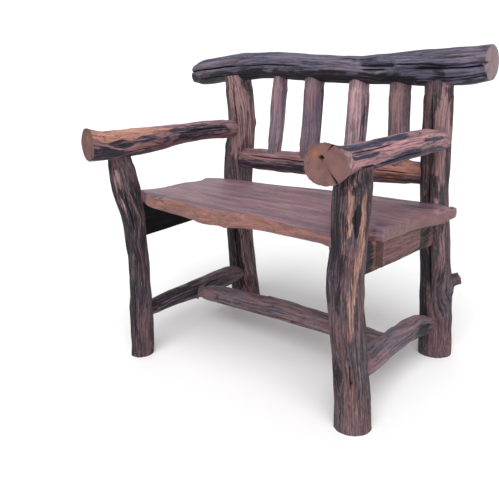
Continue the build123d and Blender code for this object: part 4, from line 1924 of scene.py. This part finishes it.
STATIONS: dict[str, list[Station]] = {
    "front_leg_left": [
        (-342, -7, 0, 33), (-338, -5, 100, 32), (-333, -1, 320, 31), (-337, -4, 435, 33),
        (-346, -11, 512, 38), (-357, -19, 615, 32),
    ],
    "front_leg_right": [
        (355, 13, 0, 44), (353, 12, 70, 42), (346, 6, 180, 40), (339, 1, 285, 40),
        (336, -1, 371, 42), (341, 3, 465, 39), (343, 4, 533, 42), (347, 7, 622, 40),
    ],
    "back_post_left": [
        (-341, 508, 0, 48), (-351, 502, 132, 47), (-357, 500, 266, 45), (-351, 500, 511, 47),
        (-334, 500, 646, 44), (-342, 498, 790, 45),
    ],
    "back_post_right": [
        (371, 487, 0, 46), (367, 487, 131, 45), (354, 487, 310, 42), (341, 487, 481, 39),
        (338, 487, 643, 38), (334, 487, 785, 39),
    ],
    "top_rail": [
        (-531, 500, 795, 27), (-496, 500, 798, 37), (-385, 498, 811, 41), (-204, 495, 819, 41),
        (9, 492, 806, 39), (182, 490, 800, 42), (322, 488, 802, 47), (424, 487, 807, 47),
        (465, 487, 812, 43),
    ],
    "lower_back_rail": [
        (-318, 491, 525, 33), (-97, 490, 521, 34), (113, 490, 523, 35), (315, 489, 523, 33),
    ],
    "back_spindle_1": [(-166, 492, 800, 24), (-178, 491, 683, 23), (-196, 490, 535, 24)],
    "back_spindle_2": [(-42, 492, 795, 31), (-52, 491, 686, 29), (-65, 490, 535, 31)],
    "back_spindle_3": [(105, 491, 790, 30), (101, 490, 689, 31), (89, 490, 535, 31)],
    "back_spindle_4": [(228, 490, 785, 31), (228, 490, 692, 31), (233, 490, 535, 30)],
    "arm_left": [
        (-348, -124, 640, 43), (-347, -85, 633, 38), (-347, -18, 629, 37), (-347, 93, 628, 35),
        (-347, 217, 631, 30), (-347, 354, 628, 28), (-346, 480, 617, 29),
    ],
    "arm_right": [
        (345, -110, 639, 42), (346, -66, 637, 33), (351, 46, 633, 31), (359, 220, 633, 30),
        (366, 380, 627, 30), (368, 454, 618, 23),
    ],
    "side_stretcher_left": [
        (-341, 12, 133, 23), (-344, 101, 131, 25), (-344, 239, 126, 29), (-346, 409, 118, 32),
        (-349, 480, 116, 30),
    ],
    "side_stretcher_right": [
        (348, 30, 134, 31), (347, 140, 132, 31), (348, 250, 128, 28), (352, 360, 118, 29),
        (361, 472, 100, 26),
    ],
    "long_stretcher": [
        (-330, 238, 122, 24), (-260, 234, 130, 27), (-85, 226, 138, 28), (30, 222, 142, 30),
        (158, 215, 141, 27), (335, 207, 133, 28),
    ],
}
HOSTS = {name: CentreLine(stations) for name, stations in STATIONS.items()}

PEGS: dict[str, list[tuple[Colour, Colour]]] = {
    "top_rail_pegs": [((-342, 537, 800), (-342, 465, 800)), ((334, 531, 796), (334, 455, 796))],
    "lower_rail_pegs": [((-340, 542, 525), (-340, 466, 525)), ((333, 523, 523), (333, 462, 523))],
    "arm_pegs": [
        ((-382, -17, 618), (-330, -17, 618)),
        ((320, 7, 628), (372, 7, 628)),
        ((-378, 484, 618), (-318, 484, 618)),
    ],
    "bearer_pegs": [
        ((-367, 1, 417), (-312, 1, 417)),
        ((-393, 488, 394), (-330, 488, 394)),
        ((300, 3, 398), (360, 3, 398)),
        ((310, 478, 377), (368, 478, 377)),
    ],
    "side_stretcher_pegs": [
        ((-368, -2, 133), (-316, -2, 133)),
        ((-394, 495, 116), (-325, 495, 116)),
        ((311, 10, 134), (376, 10, 134)),
        ((326, 484, 104), (392, 484, 104)),
    ],
    "long_stretcher_pegs": [
        ((-333, 237, 98), (-333, 237, 143)),
        ((336, 207, 104), (336, 207, 148)),
    ],
}


def mouths(*chosen: tuple[str, int]) -> list[Colour]:
    """Return the mouths of the chosen pegs, each a node name and its number in it."""
    return [PEGS[node][number][0] for node, number in chosen]


def foot(*checks: tuple[float, float, float]) -> End:
    """Return the sawn foot of a leg, with its checks."""
    return End(EndKind.SAWN, facing=(0.0, 0.0, -1.0), pith=(5.0, -4.0), checks=checks, dome=-1.0)


def tenon(host: str, radius: float, length: float) -> End:
    """Return a scribed shoulder with a round tenon into the host log."""
    return End(EndKind.TENON, host=host, tenon=(radius, length))


class Bench:
    """The whole bench, built sub-assembly by sub-assembly."""

    def back(self) -> list[Log]:
        """Return the logs of the back frame.

        Returns:
            The logs.
        """
        rail = Log(
            "top_rail", "blue_grey_log", WEATHERED, seed=3,
            first=End(EndKind.SAWN, facing=(-0.96, -0.28, 0.05), pith=(3, -6)),
            last=End(EndKind.SAWN, facing=(0.99, -0.10, 0.05), pith=(4, 6),
                     checks=((92, 7, 0.55), (128, 4, 0.4), (200, 3, 0.5))),
            lobes=0.035, lumps=2.4, nubs=1.1, grooves=1.7, groove_gap=10,
            clefts=(
                Cleft(0, 235, 72, 4.5, 15, 3, 18, open_start=True),
                Cleft(200, 480, 89, 2.2, 6, 3, -4),
                Cleft(655, 742, 89, 3.4, 9, 3),
                Cleft(745, 930, 70, 3, 8, 3, 15),
                Cleft(800, 996, 90, 4.2, 12, 3, 5, open_stop=True),
                Cleft(850, 996, 118, 2.6, 7, 4, 8, open_stop=True),
                Cleft(560, 720, 44, 2, 4),
                Cleft(20, 300, 128, 2.4, 5),
                Cleft(480, 760, -40, 2.6, 6),
                Cleft(150, 420, -120, 2.6, 6),
            ),
            valleys=(
                Valley(-80, 250, 80, 26, 6.5, 0.25),
                Valley(640, 770, 70, 20, 15, 0.95),
                Valley(740, 1080, 90, 15, 7.5, 0.5),
                Valley(860, 1080, 128, 14, 4, 0.4),
            ),
            knots=(
                Knot(825, 38, 9, -2.5, 0.9), Knot(634, 48, 9, -2, 0.8),
                Knot(716, 106, 15, 5, 0.1), Knot(700, 44, 22, 4, 0),
                Knot(300, -60, 16, 4, 0.7),
            ),
            # the patches at 118 and 140 degrees darken the rail's lower front, and those at 70 and
            # 66 its hollow and groove: painted shade
            stains_and_shade=(
                Patch(480, 140, 560, 44, 0.85), Patch(90, 118, 130, 34, 0.8),
                Patch(720, 70, 50, 16, 0.7), Patch(880, 66, 110, 22, 0.5),
                Patch(300, -150, 300, 50, 0.5),
            ),
            # the small patch at 714 paints the raised boss at 716 pale
            bared=(Patch(560, 62, 90, 26, 0.35), Patch(714, 106, 14, 16, 0.8)),
            pegs=mouths(("top_rail_pegs", 0), ("top_rail_pegs", 1)),
        )
        post_left = Log(
            "back_post_left", "dark_fibrous_log", FIBROUS, seed=4,
            first=foot((-60, 2, 0.8)), last=tenon("top_rail", 22, 36),
            grooves=2.2, lumps=2.8, spiral=120,
            clefts=(Cleft(80, 330, -70, 2.6, 8), Cleft(540, 700, -20, 2.2, 6),
                    Cleft(600, 790, -75, 2.4, 6), Cleft(200, 520, 110, 3, 8)),
            knots=(Knot(640, 30, 14, 4, 0.5), Knot(560, -125, 16, 4, 0.4)),
            stains_and_shade=(Patch(210, -85, 190, 45, 0.75), Patch(560, -150, 120, 36, 0.7)),
            bared=(Patch(690, -50, 150, 70, 0.75), Patch(640, 0, 90, 30, 0.5),
                   Patch(220, -30, 200, 60, 0.5)),
            pegs=mouths(("lower_rail_pegs", 0), ("arm_pegs", 2), ("bearer_pegs", 1),
                        ("side_stretcher_pegs", 1)),
        )
        stub = Log(
            "branch_stub", "dark_fibrous_log", FIBROUS, seed=21,
            stations=[
                (366, 489, 206, 27), (385, 497, 214, 23), (404, 506, 223, 17), (421, 513, 231, 15)
            ],
            last=End(EndKind.SAWN, dome=4.5), first=End(tenon=(8, 4)),
            fade=10, nubs=2.2, lumps=3, ring_step=1.6,
        )
        post_right = Log(
            "back_post_right", "dark_fibrous_log", FIBROUS, seed=5,
            first=foot((-60, 2, 0.8)), last=tenon("top_rail", 22, 36),
            grooves=2, lumps=2.4,
            clefts=(Cleft(160, 560, -88, 4, 12, 3, -8),
                    Cleft(560, 770, -96, 3.4, 9, 3),
                    Cleft(250, 600, 70, 2.8, 8)),
            valleys=(Valley(120, 830, -90, 25, 8, 0.6),),
            knots=(Knot(208, 24, 34, 9, 0), Knot(165, -35, 28, 6, 0.2),
                   Knot(186, 4, 9, -5, 0.95), Knot(395, -40, 20, 5, 0)),
            # the patches at -128 darken the post's left side, away from the light: painted shade
            stains_and_shade=(Patch(260, -128, 240, 34, 0.95), Patch(560, -128, 120, 32, 0.7)),
            bared=(Patch(345, -40, 80, 24, 0.5), Patch(640, -45, 170, 46, 0.85),
                   Patch(570, -118, 90, 10, 0.7)),
            pegs=mouths(("lower_rail_pegs", 1), ("bearer_pegs", 3), ("side_stretcher_pegs", 3)),
            branches=(stub,), wells=[(360, 506, 608), (360, 506, 632)],
        )
        lower = Log(
            "lower_back_rail", "peeled_log",
            replace(PEELED, bare=(0.32, 0.135, 0.095), warm_light=(0.30, 0.155, 0.165),
                    warm_dark=(0.09, 0.040, 0.044)),
            seed=6,
            first=tenon("back_post_left", 19, 40), last=tenon("back_post_right", 19, 36),
            clefts=(Cleft(20, 330, 62, 2.6, 6, 4, 10), Cleft(420, 610, 85, 2.4, 5)),
            stains_and_shade=(Patch(120, 110, 160, 30, 0.8), Patch(560, 120, 80, 26, 0.5)),
            bared=(Patch(540, 70, 110, 60, 0.8), Patch(330, 95, 90, 20, 0.5)),
        )
        logs = [rail, post_left, post_right, lower]
        dark_first = (Patch(60, -60, 50, 50, 0.4),)
        dark_second = (Patch(70, -40, 90, 50, 0.85), Patch(190, -90, 90, 40, 0.8))
        warm_second = (Patch(120, -75, 30, 30, 0.8), Patch(60, -95, 30, 18, 0.6))
        dusky = replace(SPINDLE, cool_light=(0.17, 0.14, 0.21), warm_light=(0.26, 0.17, 0.20))
        pinker = replace(SPINDLE, cool_dark=(0.11, 0.08, 0.10), warm_dark=(0.19, 0.105, 0.115),
                         cool_light=(0.46, 0.33, 0.40), warm_light=(0.56, 0.36, 0.39))
        browner = replace(SPINDLE, cool_light=(0.18, 0.12, 0.13), warm_light=(0.27, 0.165, 0.165))
        marked = (
            (1, 14, 7, SPINDLE, dark_first, ()),
            (2, 17, 8, dusky, dark_second, warm_second),
            (3, 17, 9, pinker, (Patch(150, 20, 60, 25, 0.6),),
             (Patch(40, -60, 60, 50, 0.5),)),
            (4, 17, 10, browner, (Patch(130, -125, 140, 25, 0.7),),
             (Patch(120, -30, 130, 30, 0.5),)),
        )
        for number, radius, seed, finish, stains_and_shade, bared in marked:
            name = f"back_spindle_{number}"
            logs.append(Log(
                name, "spindle_wood", finish, seed=seed,
                first=tenon("top_rail", radius, 26), last=tenon("lower_back_rail", radius - 1, 26),
                grooves=1.2, lumps=2.2, stains_and_shade=stains_and_shade, bared=bared,
                clefts=(Cleft(60, 190, -60.0 + 17.0 * number, 1.8, 4),),
            ))
        return logs

    def front(self) -> list[Log]:
        """Return the front legs and the arms.

        Returns:
            The logs.
        """
        leg_left = Log(
            "front_leg_left", "dark_fibrous_log", FIBROUS, seed=11,
            first=foot(), last=tenon("arm_left", 18, 34), grooves=1.8, lumps=2.6, nubs=1.3,
            clefts=(Cleft(380, 520, -48, 3, 7), Cleft(60, 260, -75, 2.2, 5)),
            knots=(Knot(420, -30, 13, -4, 0.9), Knot(352, -5, 12, 4, 0.3),
                   Knot(500, 0, 18, 4, 0.1), Knot(300, -60, 9, 2.5, 0.6)),
            # the patches at -120 darken the leg's left side, away from the light: painted shade
            stains_and_shade=(Patch(400, -120, 260, 50, 0.85), Patch(450, -28, 80, 40, 0.7),
                    Patch(130, -120, 170, 55, 0.7), Patch(300, -20, 160, 40, 0.6),
                    Patch(300, -70, 330, 60, 0.5)),
            bared=(Patch(540, -72, 60, 22, 0.8), Patch(470, -75, 50, 12, 0.7)),
            pegs=mouths(("arm_pegs", 0), ("bearer_pegs", 0), ("side_stretcher_pegs", 0)),
        )
        leg_right = Log(
            "front_leg_right", "dark_fibrous_log",
            replace(FIBROUS, bare=(0.34, 0.185, 0.145)), seed=12,
            first=foot(), last=tenon("arm_right", 18, 30), grooves=2, lumps=2.6, nubs=1.4,
            clefts=(Cleft(470, 545, -50, 2.4, 5, 8), Cleft(360, 440, -40, 1.8, 4),
                    Cleft(110, 190, -62, 2.6, 6), Cleft(200, 420, 130, 3, 8)),
            knots=(Knot(384, -118, 13, 5.5, 0.4), Knot(446, -128, 14, 4.5, 0.3),
                   Knot(150, -112, 16, 4, 0.8), Knot(135, -60, 8, -3, 0.9),
                   Knot(515, -42, 11, -4, 0.9), Knot(600, -20, 14, 3, 0.4)),
            # the two patches at -112 darken the leg's left side, away from the light: painted shade
            stains_and_shade=(Patch(460, -112, 180, 44, 0.7), Patch(150, -112, 40, 26, 0.8),
                    Patch(512, -44, 34, 14, 0.95), Patch(330, -100, 60, 26, 0.4),
                    Patch(600, -80, 30, 80, 0.6)),
            bared=(Patch(535, -64, 75, 10, 0.85), Patch(490, -24, 90, 17, 0.7),
                   Patch(395, -34, 60, 13, 0.75), Patch(300, -50, 60, 14, 0.5),
                   Patch(120, -50, 80, 40, 0.35)),
            pegs=mouths(("arm_pegs", 1), ("bearer_pegs", 2), ("side_stretcher_pegs", 2)),
        )
        arm_left = Log(
            "arm_left", "peeled_log",
            replace(PEELED, bare=(0.44, 0.215, 0.165), sawn_light=(0.155, 0.073, 0.066),
                    sawn_dark=(0.070, 0.032, 0.030)),
            seed=13,
            first=End(EndKind.SAWN, facing=(-0.31, -0.95, 0), pith=(8, 4),
                      checks=((152, 4, 0.4), (-128, 2.5, 0.3))),
            last=tenon("back_post_left", 18, 38), grooves=1, lumps=2.4,
            knots=(Knot(34, 60, 7, 2, 0.5), Knot(72, 46, 7, 2, 0.5),
                   Knot(236, 60, 20, 3, 0), Knot(92, 88, 16, -2, 0.4)),
            clefts=(Cleft(80, 260, 118, 2.4, 5), Cleft(330, 560, 76, 2.2, 5)),
            # the patch at 30 along and 132 degrees darkens the lower side behind the sawn front
            # end: painted shade
            stains_and_shade=(Patch(400, 85, 150, 50, 0.75), Patch(92, 86, 40, 20, 0.75),
                    Patch(165, 78, 60, 16, 0.75), Patch(30, 132, 55, 34, 0.95),
                    Patch(150, 150, 120, 26, 0.6)),
            bared=(Patch(100, 40, 130, 44, 0.9), Patch(250, 35, 60, 40, 0.5),
                   Patch(170, 112, 60, 14, 0.5)),
            pegs=mouths(("arm_pegs", 0), ("arm_pegs", 2)),
        )
        arm_right = Log(
            "arm_right", "peeled_log",
            replace(PEELED, stain_and_shade_colour=(0.036, 0.032, 0.070), bare=(0.42, 0.215, 0.225)),
            seed=14,
            first=End(EndKind.SAWN, facing=(0.26, -0.97, 0), pith=(14, -10), pith_hole=5,
                      checks=((148, 3.6, 0.6), (20, 1.6, 0.5))),
            last=End(EndKind.ROUNDED, rounding=24, blunt=0.55), grooves=1.4, lumps=2.2, nubs=1.2,
            clefts=(Cleft(40, 250, 52, 2.2, 4), Cleft(120, 400, 116, 2.4, 5)),
            knots=(Knot(560, 40, 22, 4, 0.2), Knot(150, 110, 12, 2.5, 0.5),
                   Knot(30, 95, 18, 3, 0.2)),
            stains_and_shade=(Patch(200, 22, 210, 24, 0.9), Patch(280, 122, 170, 24, 0.9),
                    Patch(100, 70, 60, 12, 0.75), Patch(430, 70, 60, 14, 0.6),
                    Patch(500, 130, 80, 30, 0.7)),
            bared=(Patch(70, 92, 70, 26, 0.8), Patch(280, 66, 130, 22, 0.75),
                   Patch(450, 60, 80, 30, 0.5), Patch(160, 112, 50, 14, 0.6)),
            lapped="back_post_right", pegs=mouths(("arm_pegs", 1)),
        )
        return [leg_left, leg_right, arm_left, arm_right]

    def stretchers(self) -> list[Log]:
        """Return the stretchers near the ground.

        Returns:
            The logs.
        """
        left = Log(
            "side_stretcher_left", "stretcher_log", STRETCHER, seed=15,
            first=tenon("front_leg_left", 15, 30),
            last=tenon("back_post_left", 17, 40), lumps=2.6,
            stains_and_shade=(Patch(130, 60, 170, 100, 0.75), Patch(330, 60, 90, 50, 0.45)),
            pegs=mouths(("side_stretcher_pegs", 0), ("side_stretcher_pegs", 1)),
        )
        right = Log(
            "side_stretcher_right", "stretcher_log", STRETCHER, seed=16,
            first=tenon("front_leg_right", 18, 34),
            last=tenon("back_post_right", 17, 38), lumps=2.6, nubs=1.2,
            knots=(Knot(360, 95, 20, 5, 0.3),),
            stains_and_shade=(Patch(350, 100, 60, 50, 0.8), Patch(180, 130, 120, 30, 0.5)),
            pegs=mouths(("side_stretcher_pegs", 2), ("side_stretcher_pegs", 3)),
        )
        long = Log(
            "long_stretcher", "stretcher_log", replace(STRETCHER, warmth=0.6),
            seed=17, lumps=3, nubs=1.2,
            first=replace(tenon("side_stretcher_left", 13, 24), shoulder=0.2, ease=26),
            last=tenon("side_stretcher_right", 13, 24),
            knots=(Knot(300, 10, 14, 5, 0.2), Knot(400, 120, 9, 3, 0.7),
                   Knot(110, 80, 9, -2, 0.8)),
            clefts=(Cleft(90, 180, 95, 2.4, 5), Cleft(330, 430, 112, 2.4, 5)),
            stains_and_shade=(Patch(250, 120, 200, 14, 0.6), Patch(520, 30, 120, 40, 0.3)),
        )
        return [left, right, long]

    def seat(self) -> list:
        """Return the slab and its bearers.

        Returns:
            The slab and its bearers.
        """
        slab = Slab(
            "seat_plank", "slab_wood", SLAB,
            front=[(-304, 2), (-278, -12), (-250, -32), (-223, -45), (-160, -30), (-92, -36),
                   (-37, -48), (14, -28), (60, -12), (110, -8), (170, -20), (240, -34),
                   (318, -36)],
            right=[(318, -36), (308, 0), (304, 36), (318, 62), (345, 100), (360, 101),
                   (374, 104), (377, 130), (384, 190), (393, 269), (402, 304), (420, 346),
                   (438, 382), (430, 410), (402, 432), (370, 448)],
            back=[(-330, 450), (-180, 446), (60, 450), (370, 448)],
            left=[(-304, 2), (-305, 40), (-308, 80), (-316, 127), (-336, 184), (-350, 240),
                  (-374, 325), (-410, 412), (-396, 432), (-330, 450)],
            front_depth=[(-303, 33), (-223, 31), (-160, 39), (0, 40), (14, 44), (110, 34),
                         (164, 28), (232, 22), (290, 20), (317, 25)],
            cracks=(
                Stroke(-120, 330, 90, 1.6), Stroke(140, 160, 70, 1.4), Stroke(60, 60, 50, 1.2),
                Stroke(-210, 120, 60, 1.2), Stroke(250, 260, 60, 1.4), Stroke(-260, 300, 40, 1.2),
            ),
            stains_and_shade=(
                Stroke(60, 436, 360, 20, 0.6), Stroke(352, 125, 22, 26, 0.7),
                Stroke(-230, -20, 70, 26, 0.75),
                Stroke(345, 380, 60, 26, 0.6), Stroke(-210, 330, 90, 12, 0.35),
            ),
            bared=(
                Stroke(-60, 120, 190, 50, 0.35), Stroke(330, 230, 60, 70, 0.4),
                Stroke(120, 260, 160, 36, 0.3),
            ),
            knots=(Stroke(-60, 210, 14, 9, 0.5), Stroke(424, 396, 11, 9, 0.9)),
        )
        # The left bearer stands in the shadow under the slab and is painted near black for it:
        # painted shade, in its finish's colours and its dark stroke; its low sheen keeps the
        # painted shade dark.
        bearer_left = Bearer(
            "seat_bearer_left", "squared_timber",
            replace(TIMBER, cool_light=(0.014, 0.012, 0.012), warm_light=(0.018, 0.014, 0.013),
                    cool_dark=(0.004, 0.0035, 0.0035), warm_dark=(0.006, 0.005, 0.005), lichen=0,
                    stain_and_shade_colour=(0.005, 0.004, 0.004), sheen=0.12),
            boards=[(Section(15, -315, -359, 366), Section(475, -330, -374, 360))],
            hosts=("front_leg_left", "back_post_left"),
            wells=[(-338, 240, 386), (-347, 380, 384)], seed=18,
            stains_and_shade=(Stroke(240, 400, 300, 90, 0.9),),
        )
        bearer_right = Bearer(
            "seat_bearer_right", "squared_timber", TIMBER,
            boards=[
                (Section(15, 318, 354, 368), Section(475, 324, 360, 334)),
                (Section(105, 342, 373, 372), Section(273, 346, 392, 380)),
            ],
            hosts=("front_leg_right", "back_post_right"),
            wells=[(338, 150, 384), (341, 290, 376)], seed=19,
            # both dark strokes are painted shade: on the inner board's front end and on its rear
            # part
            stains_and_shade=(Stroke(40, 400, 58, 90, 0.95), Stroke(370, 380, 90, 60, 0.7)),
        )
        return [slab, bearer_left, bearer_right]

    def fixings(self) -> list[PegGroup]:
        """Return the pegs.

        Returns:
            The groups of pegs.
        """
        return [
            PegGroup(name, "peg_wood", PEG_WOOD, pegs, seed=40 + number)
            for number, (name, pegs) in enumerate(PEGS.items())
        ]

    def build(self) -> None:
        """Build every piece in order, and finish the screws."""
        for parts in (self.back(), self.front(), self.stretchers(), self.seat(), self.fixings()):
            for part in parts:
                part.build()
        steel = SteelFinish().build("zinc_steel_plate")
        for name in ("seat_screws", "seat_screw_washers", "arm_screws", "arm_screw_washers"):
            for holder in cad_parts[name].material_slots:
                holder.material = steel
            REPORT.info("%s: kept from the frame", name)


# ---- the studio ----


@dataclass
class Studio:
    """The floor, the lights and the camera."""

    eye: Colour = (925.3, -1103.3, 831.7)
    yaw: float = 0.65876
    pitch: float = 0.30371
    roll: float = -0.02956
    lens: float = 43.29
    floor_colour: Colour = (0.82, 0.815, 0.81)

    def floor(self) -> None:
        """Lay the floor and its backdrop, one sheet of pale paper that curves up."""
        turns = np.linspace(0.0, math.pi / 2.0, 24)
        bend = [(4.0 + math.sin(t) * 2.0, 2.0 - math.cos(t) * 2.0) for t in turns]
        profile = [(-9.0, 0.0), *bend, (6.0, 12.0)]
        half = 14.0
        points = [(x, y, z) for y, z in profile for x in (-half, half)]
        faces = [(2 * n, 2 * n + 1, 2 * n + 3, 2 * n + 2) for n in range(len(profile) - 1)]
        mesh = bpy.data.meshes.new("studio_paper")
        mesh.from_pydata(points, [], faces)
        mesh.shade_smooth()
        sheet = bpy.data.objects.new("studio_paper", mesh)
        sheet.rotation_euler = (0.0, 0.0, self.yaw)
        bpy.context.scene.collection.objects.link(sheet)
        tree = ShaderTree("studio_paper")
        tree.surface(Base_Color=self.floor_colour, Roughness=0.9)
        sheet.data.materials.append(tree.material)

    def sun(self, turn: float, height: float, power: float, spread: float) -> None:
        """Set a broad, soft sun at a turn about the bench and a height, in degrees.

        Args:
            turn, height: where it stands, in degrees.
            power: its power.
            spread: its width in degrees.
        """
        light = bpy.data.lights.new("skylight", "SUN")
        light.energy = power
        light.angle = math.radians(spread)
        lamp = bpy.data.objects.new("skylight", light)
        a, e = math.radians(turn), math.radians(height)
        way = -Vector((math.sin(a) * math.cos(e), -math.cos(a) * math.cos(e), math.sin(e)))
        lamp.rotation_euler = way.to_track_quat("-Z", "Y").to_euler()
        bpy.context.scene.collection.objects.link(lamp)

    def lamp(self, name: str, place: Colour, power: float, size: float, colour: Colour) -> None:
        """Hang a square soft lamp that looks at the bench.

        Args:
            name: its name.
            place: where it hangs.
            power: its power.
            size: its side.
            colour: its colour.
        """
        light = bpy.data.lights.new(name, "AREA")
        light.energy = power
        light.size = size
        light.color = colour
        lamp = bpy.data.objects.new(name, light)
        way = Vector((0.0, 0.0, 0.4)) - Vector(place)
        turned = way.to_track_quat("-Z", "Y").to_matrix().to_4x4()
        lamp.matrix_world = Matrix.Translation(place) @ turned
        bpy.context.scene.collection.objects.link(lamp)

    def camera(self) -> None:
        """Set up the camera in front of the bench's right end."""
        yaw, pitch = self.yaw, self.pitch
        forward = Vector((
            -math.sin(yaw) * math.cos(pitch), math.cos(yaw) * math.cos(pitch), -math.sin(pitch)
        ))
        level = Vector((math.cos(yaw), math.sin(yaw), 0.0))
        upright = level.cross(forward)
        right = level * math.cos(self.roll) + upright * math.sin(self.roll)
        up = upright * math.cos(self.roll) - level * math.sin(self.roll)
        turned = Matrix((right, up, -forward)).transposed().to_4x4()
        place = Vector((np.array(self.eye) + SHIFT) * MM)
        data = bpy.data.cameras.new("camera")
        data.lens = self.lens
        data.sensor_width = 36.0
        made = bpy.data.objects.new("camera", data)
        made.matrix_world = Matrix.Translation(place) @ turned
        bpy.context.scene.collection.objects.link(made)
        bpy.context.scene.camera = made

    def world(self, colour: Colour, strength: float) -> None:
        """Fill the studio with an even light.

        Args:
            colour: the light's colour.
            strength: its strength.
        """
        world = bpy.data.worlds.new("studio")
        world.use_nodes = True
        back = world.node_tree.nodes["Background"]
        back.inputs["Color"].default_value = (*colour, 1.0)
        back.inputs["Strength"].default_value = strength
        bpy.context.scene.world = world

    def build(self) -> None:
        """Build the studio."""
        self.floor()
        self.sun(turn=30.0, height=56.0, power=2.9, spread=50.0)
        self.lamp("fill", (1.4, -3.0, 1.6), power=30.0, size=2.4, colour=(0.98, 0.99, 1.0))
        self.world((0.97, 0.98, 1.0), strength=0.42)
        self.camera()
        bpy.context.scene.view_settings.view_transform = "Standard"


def main() -> None:
    """Build the bench and its studio."""
    logging.basicConfig(level=logging.INFO, format="%(name)s: %(message)s")
    Bench().build()
    Studio().build()


if __name__ == "__main__":
    main()
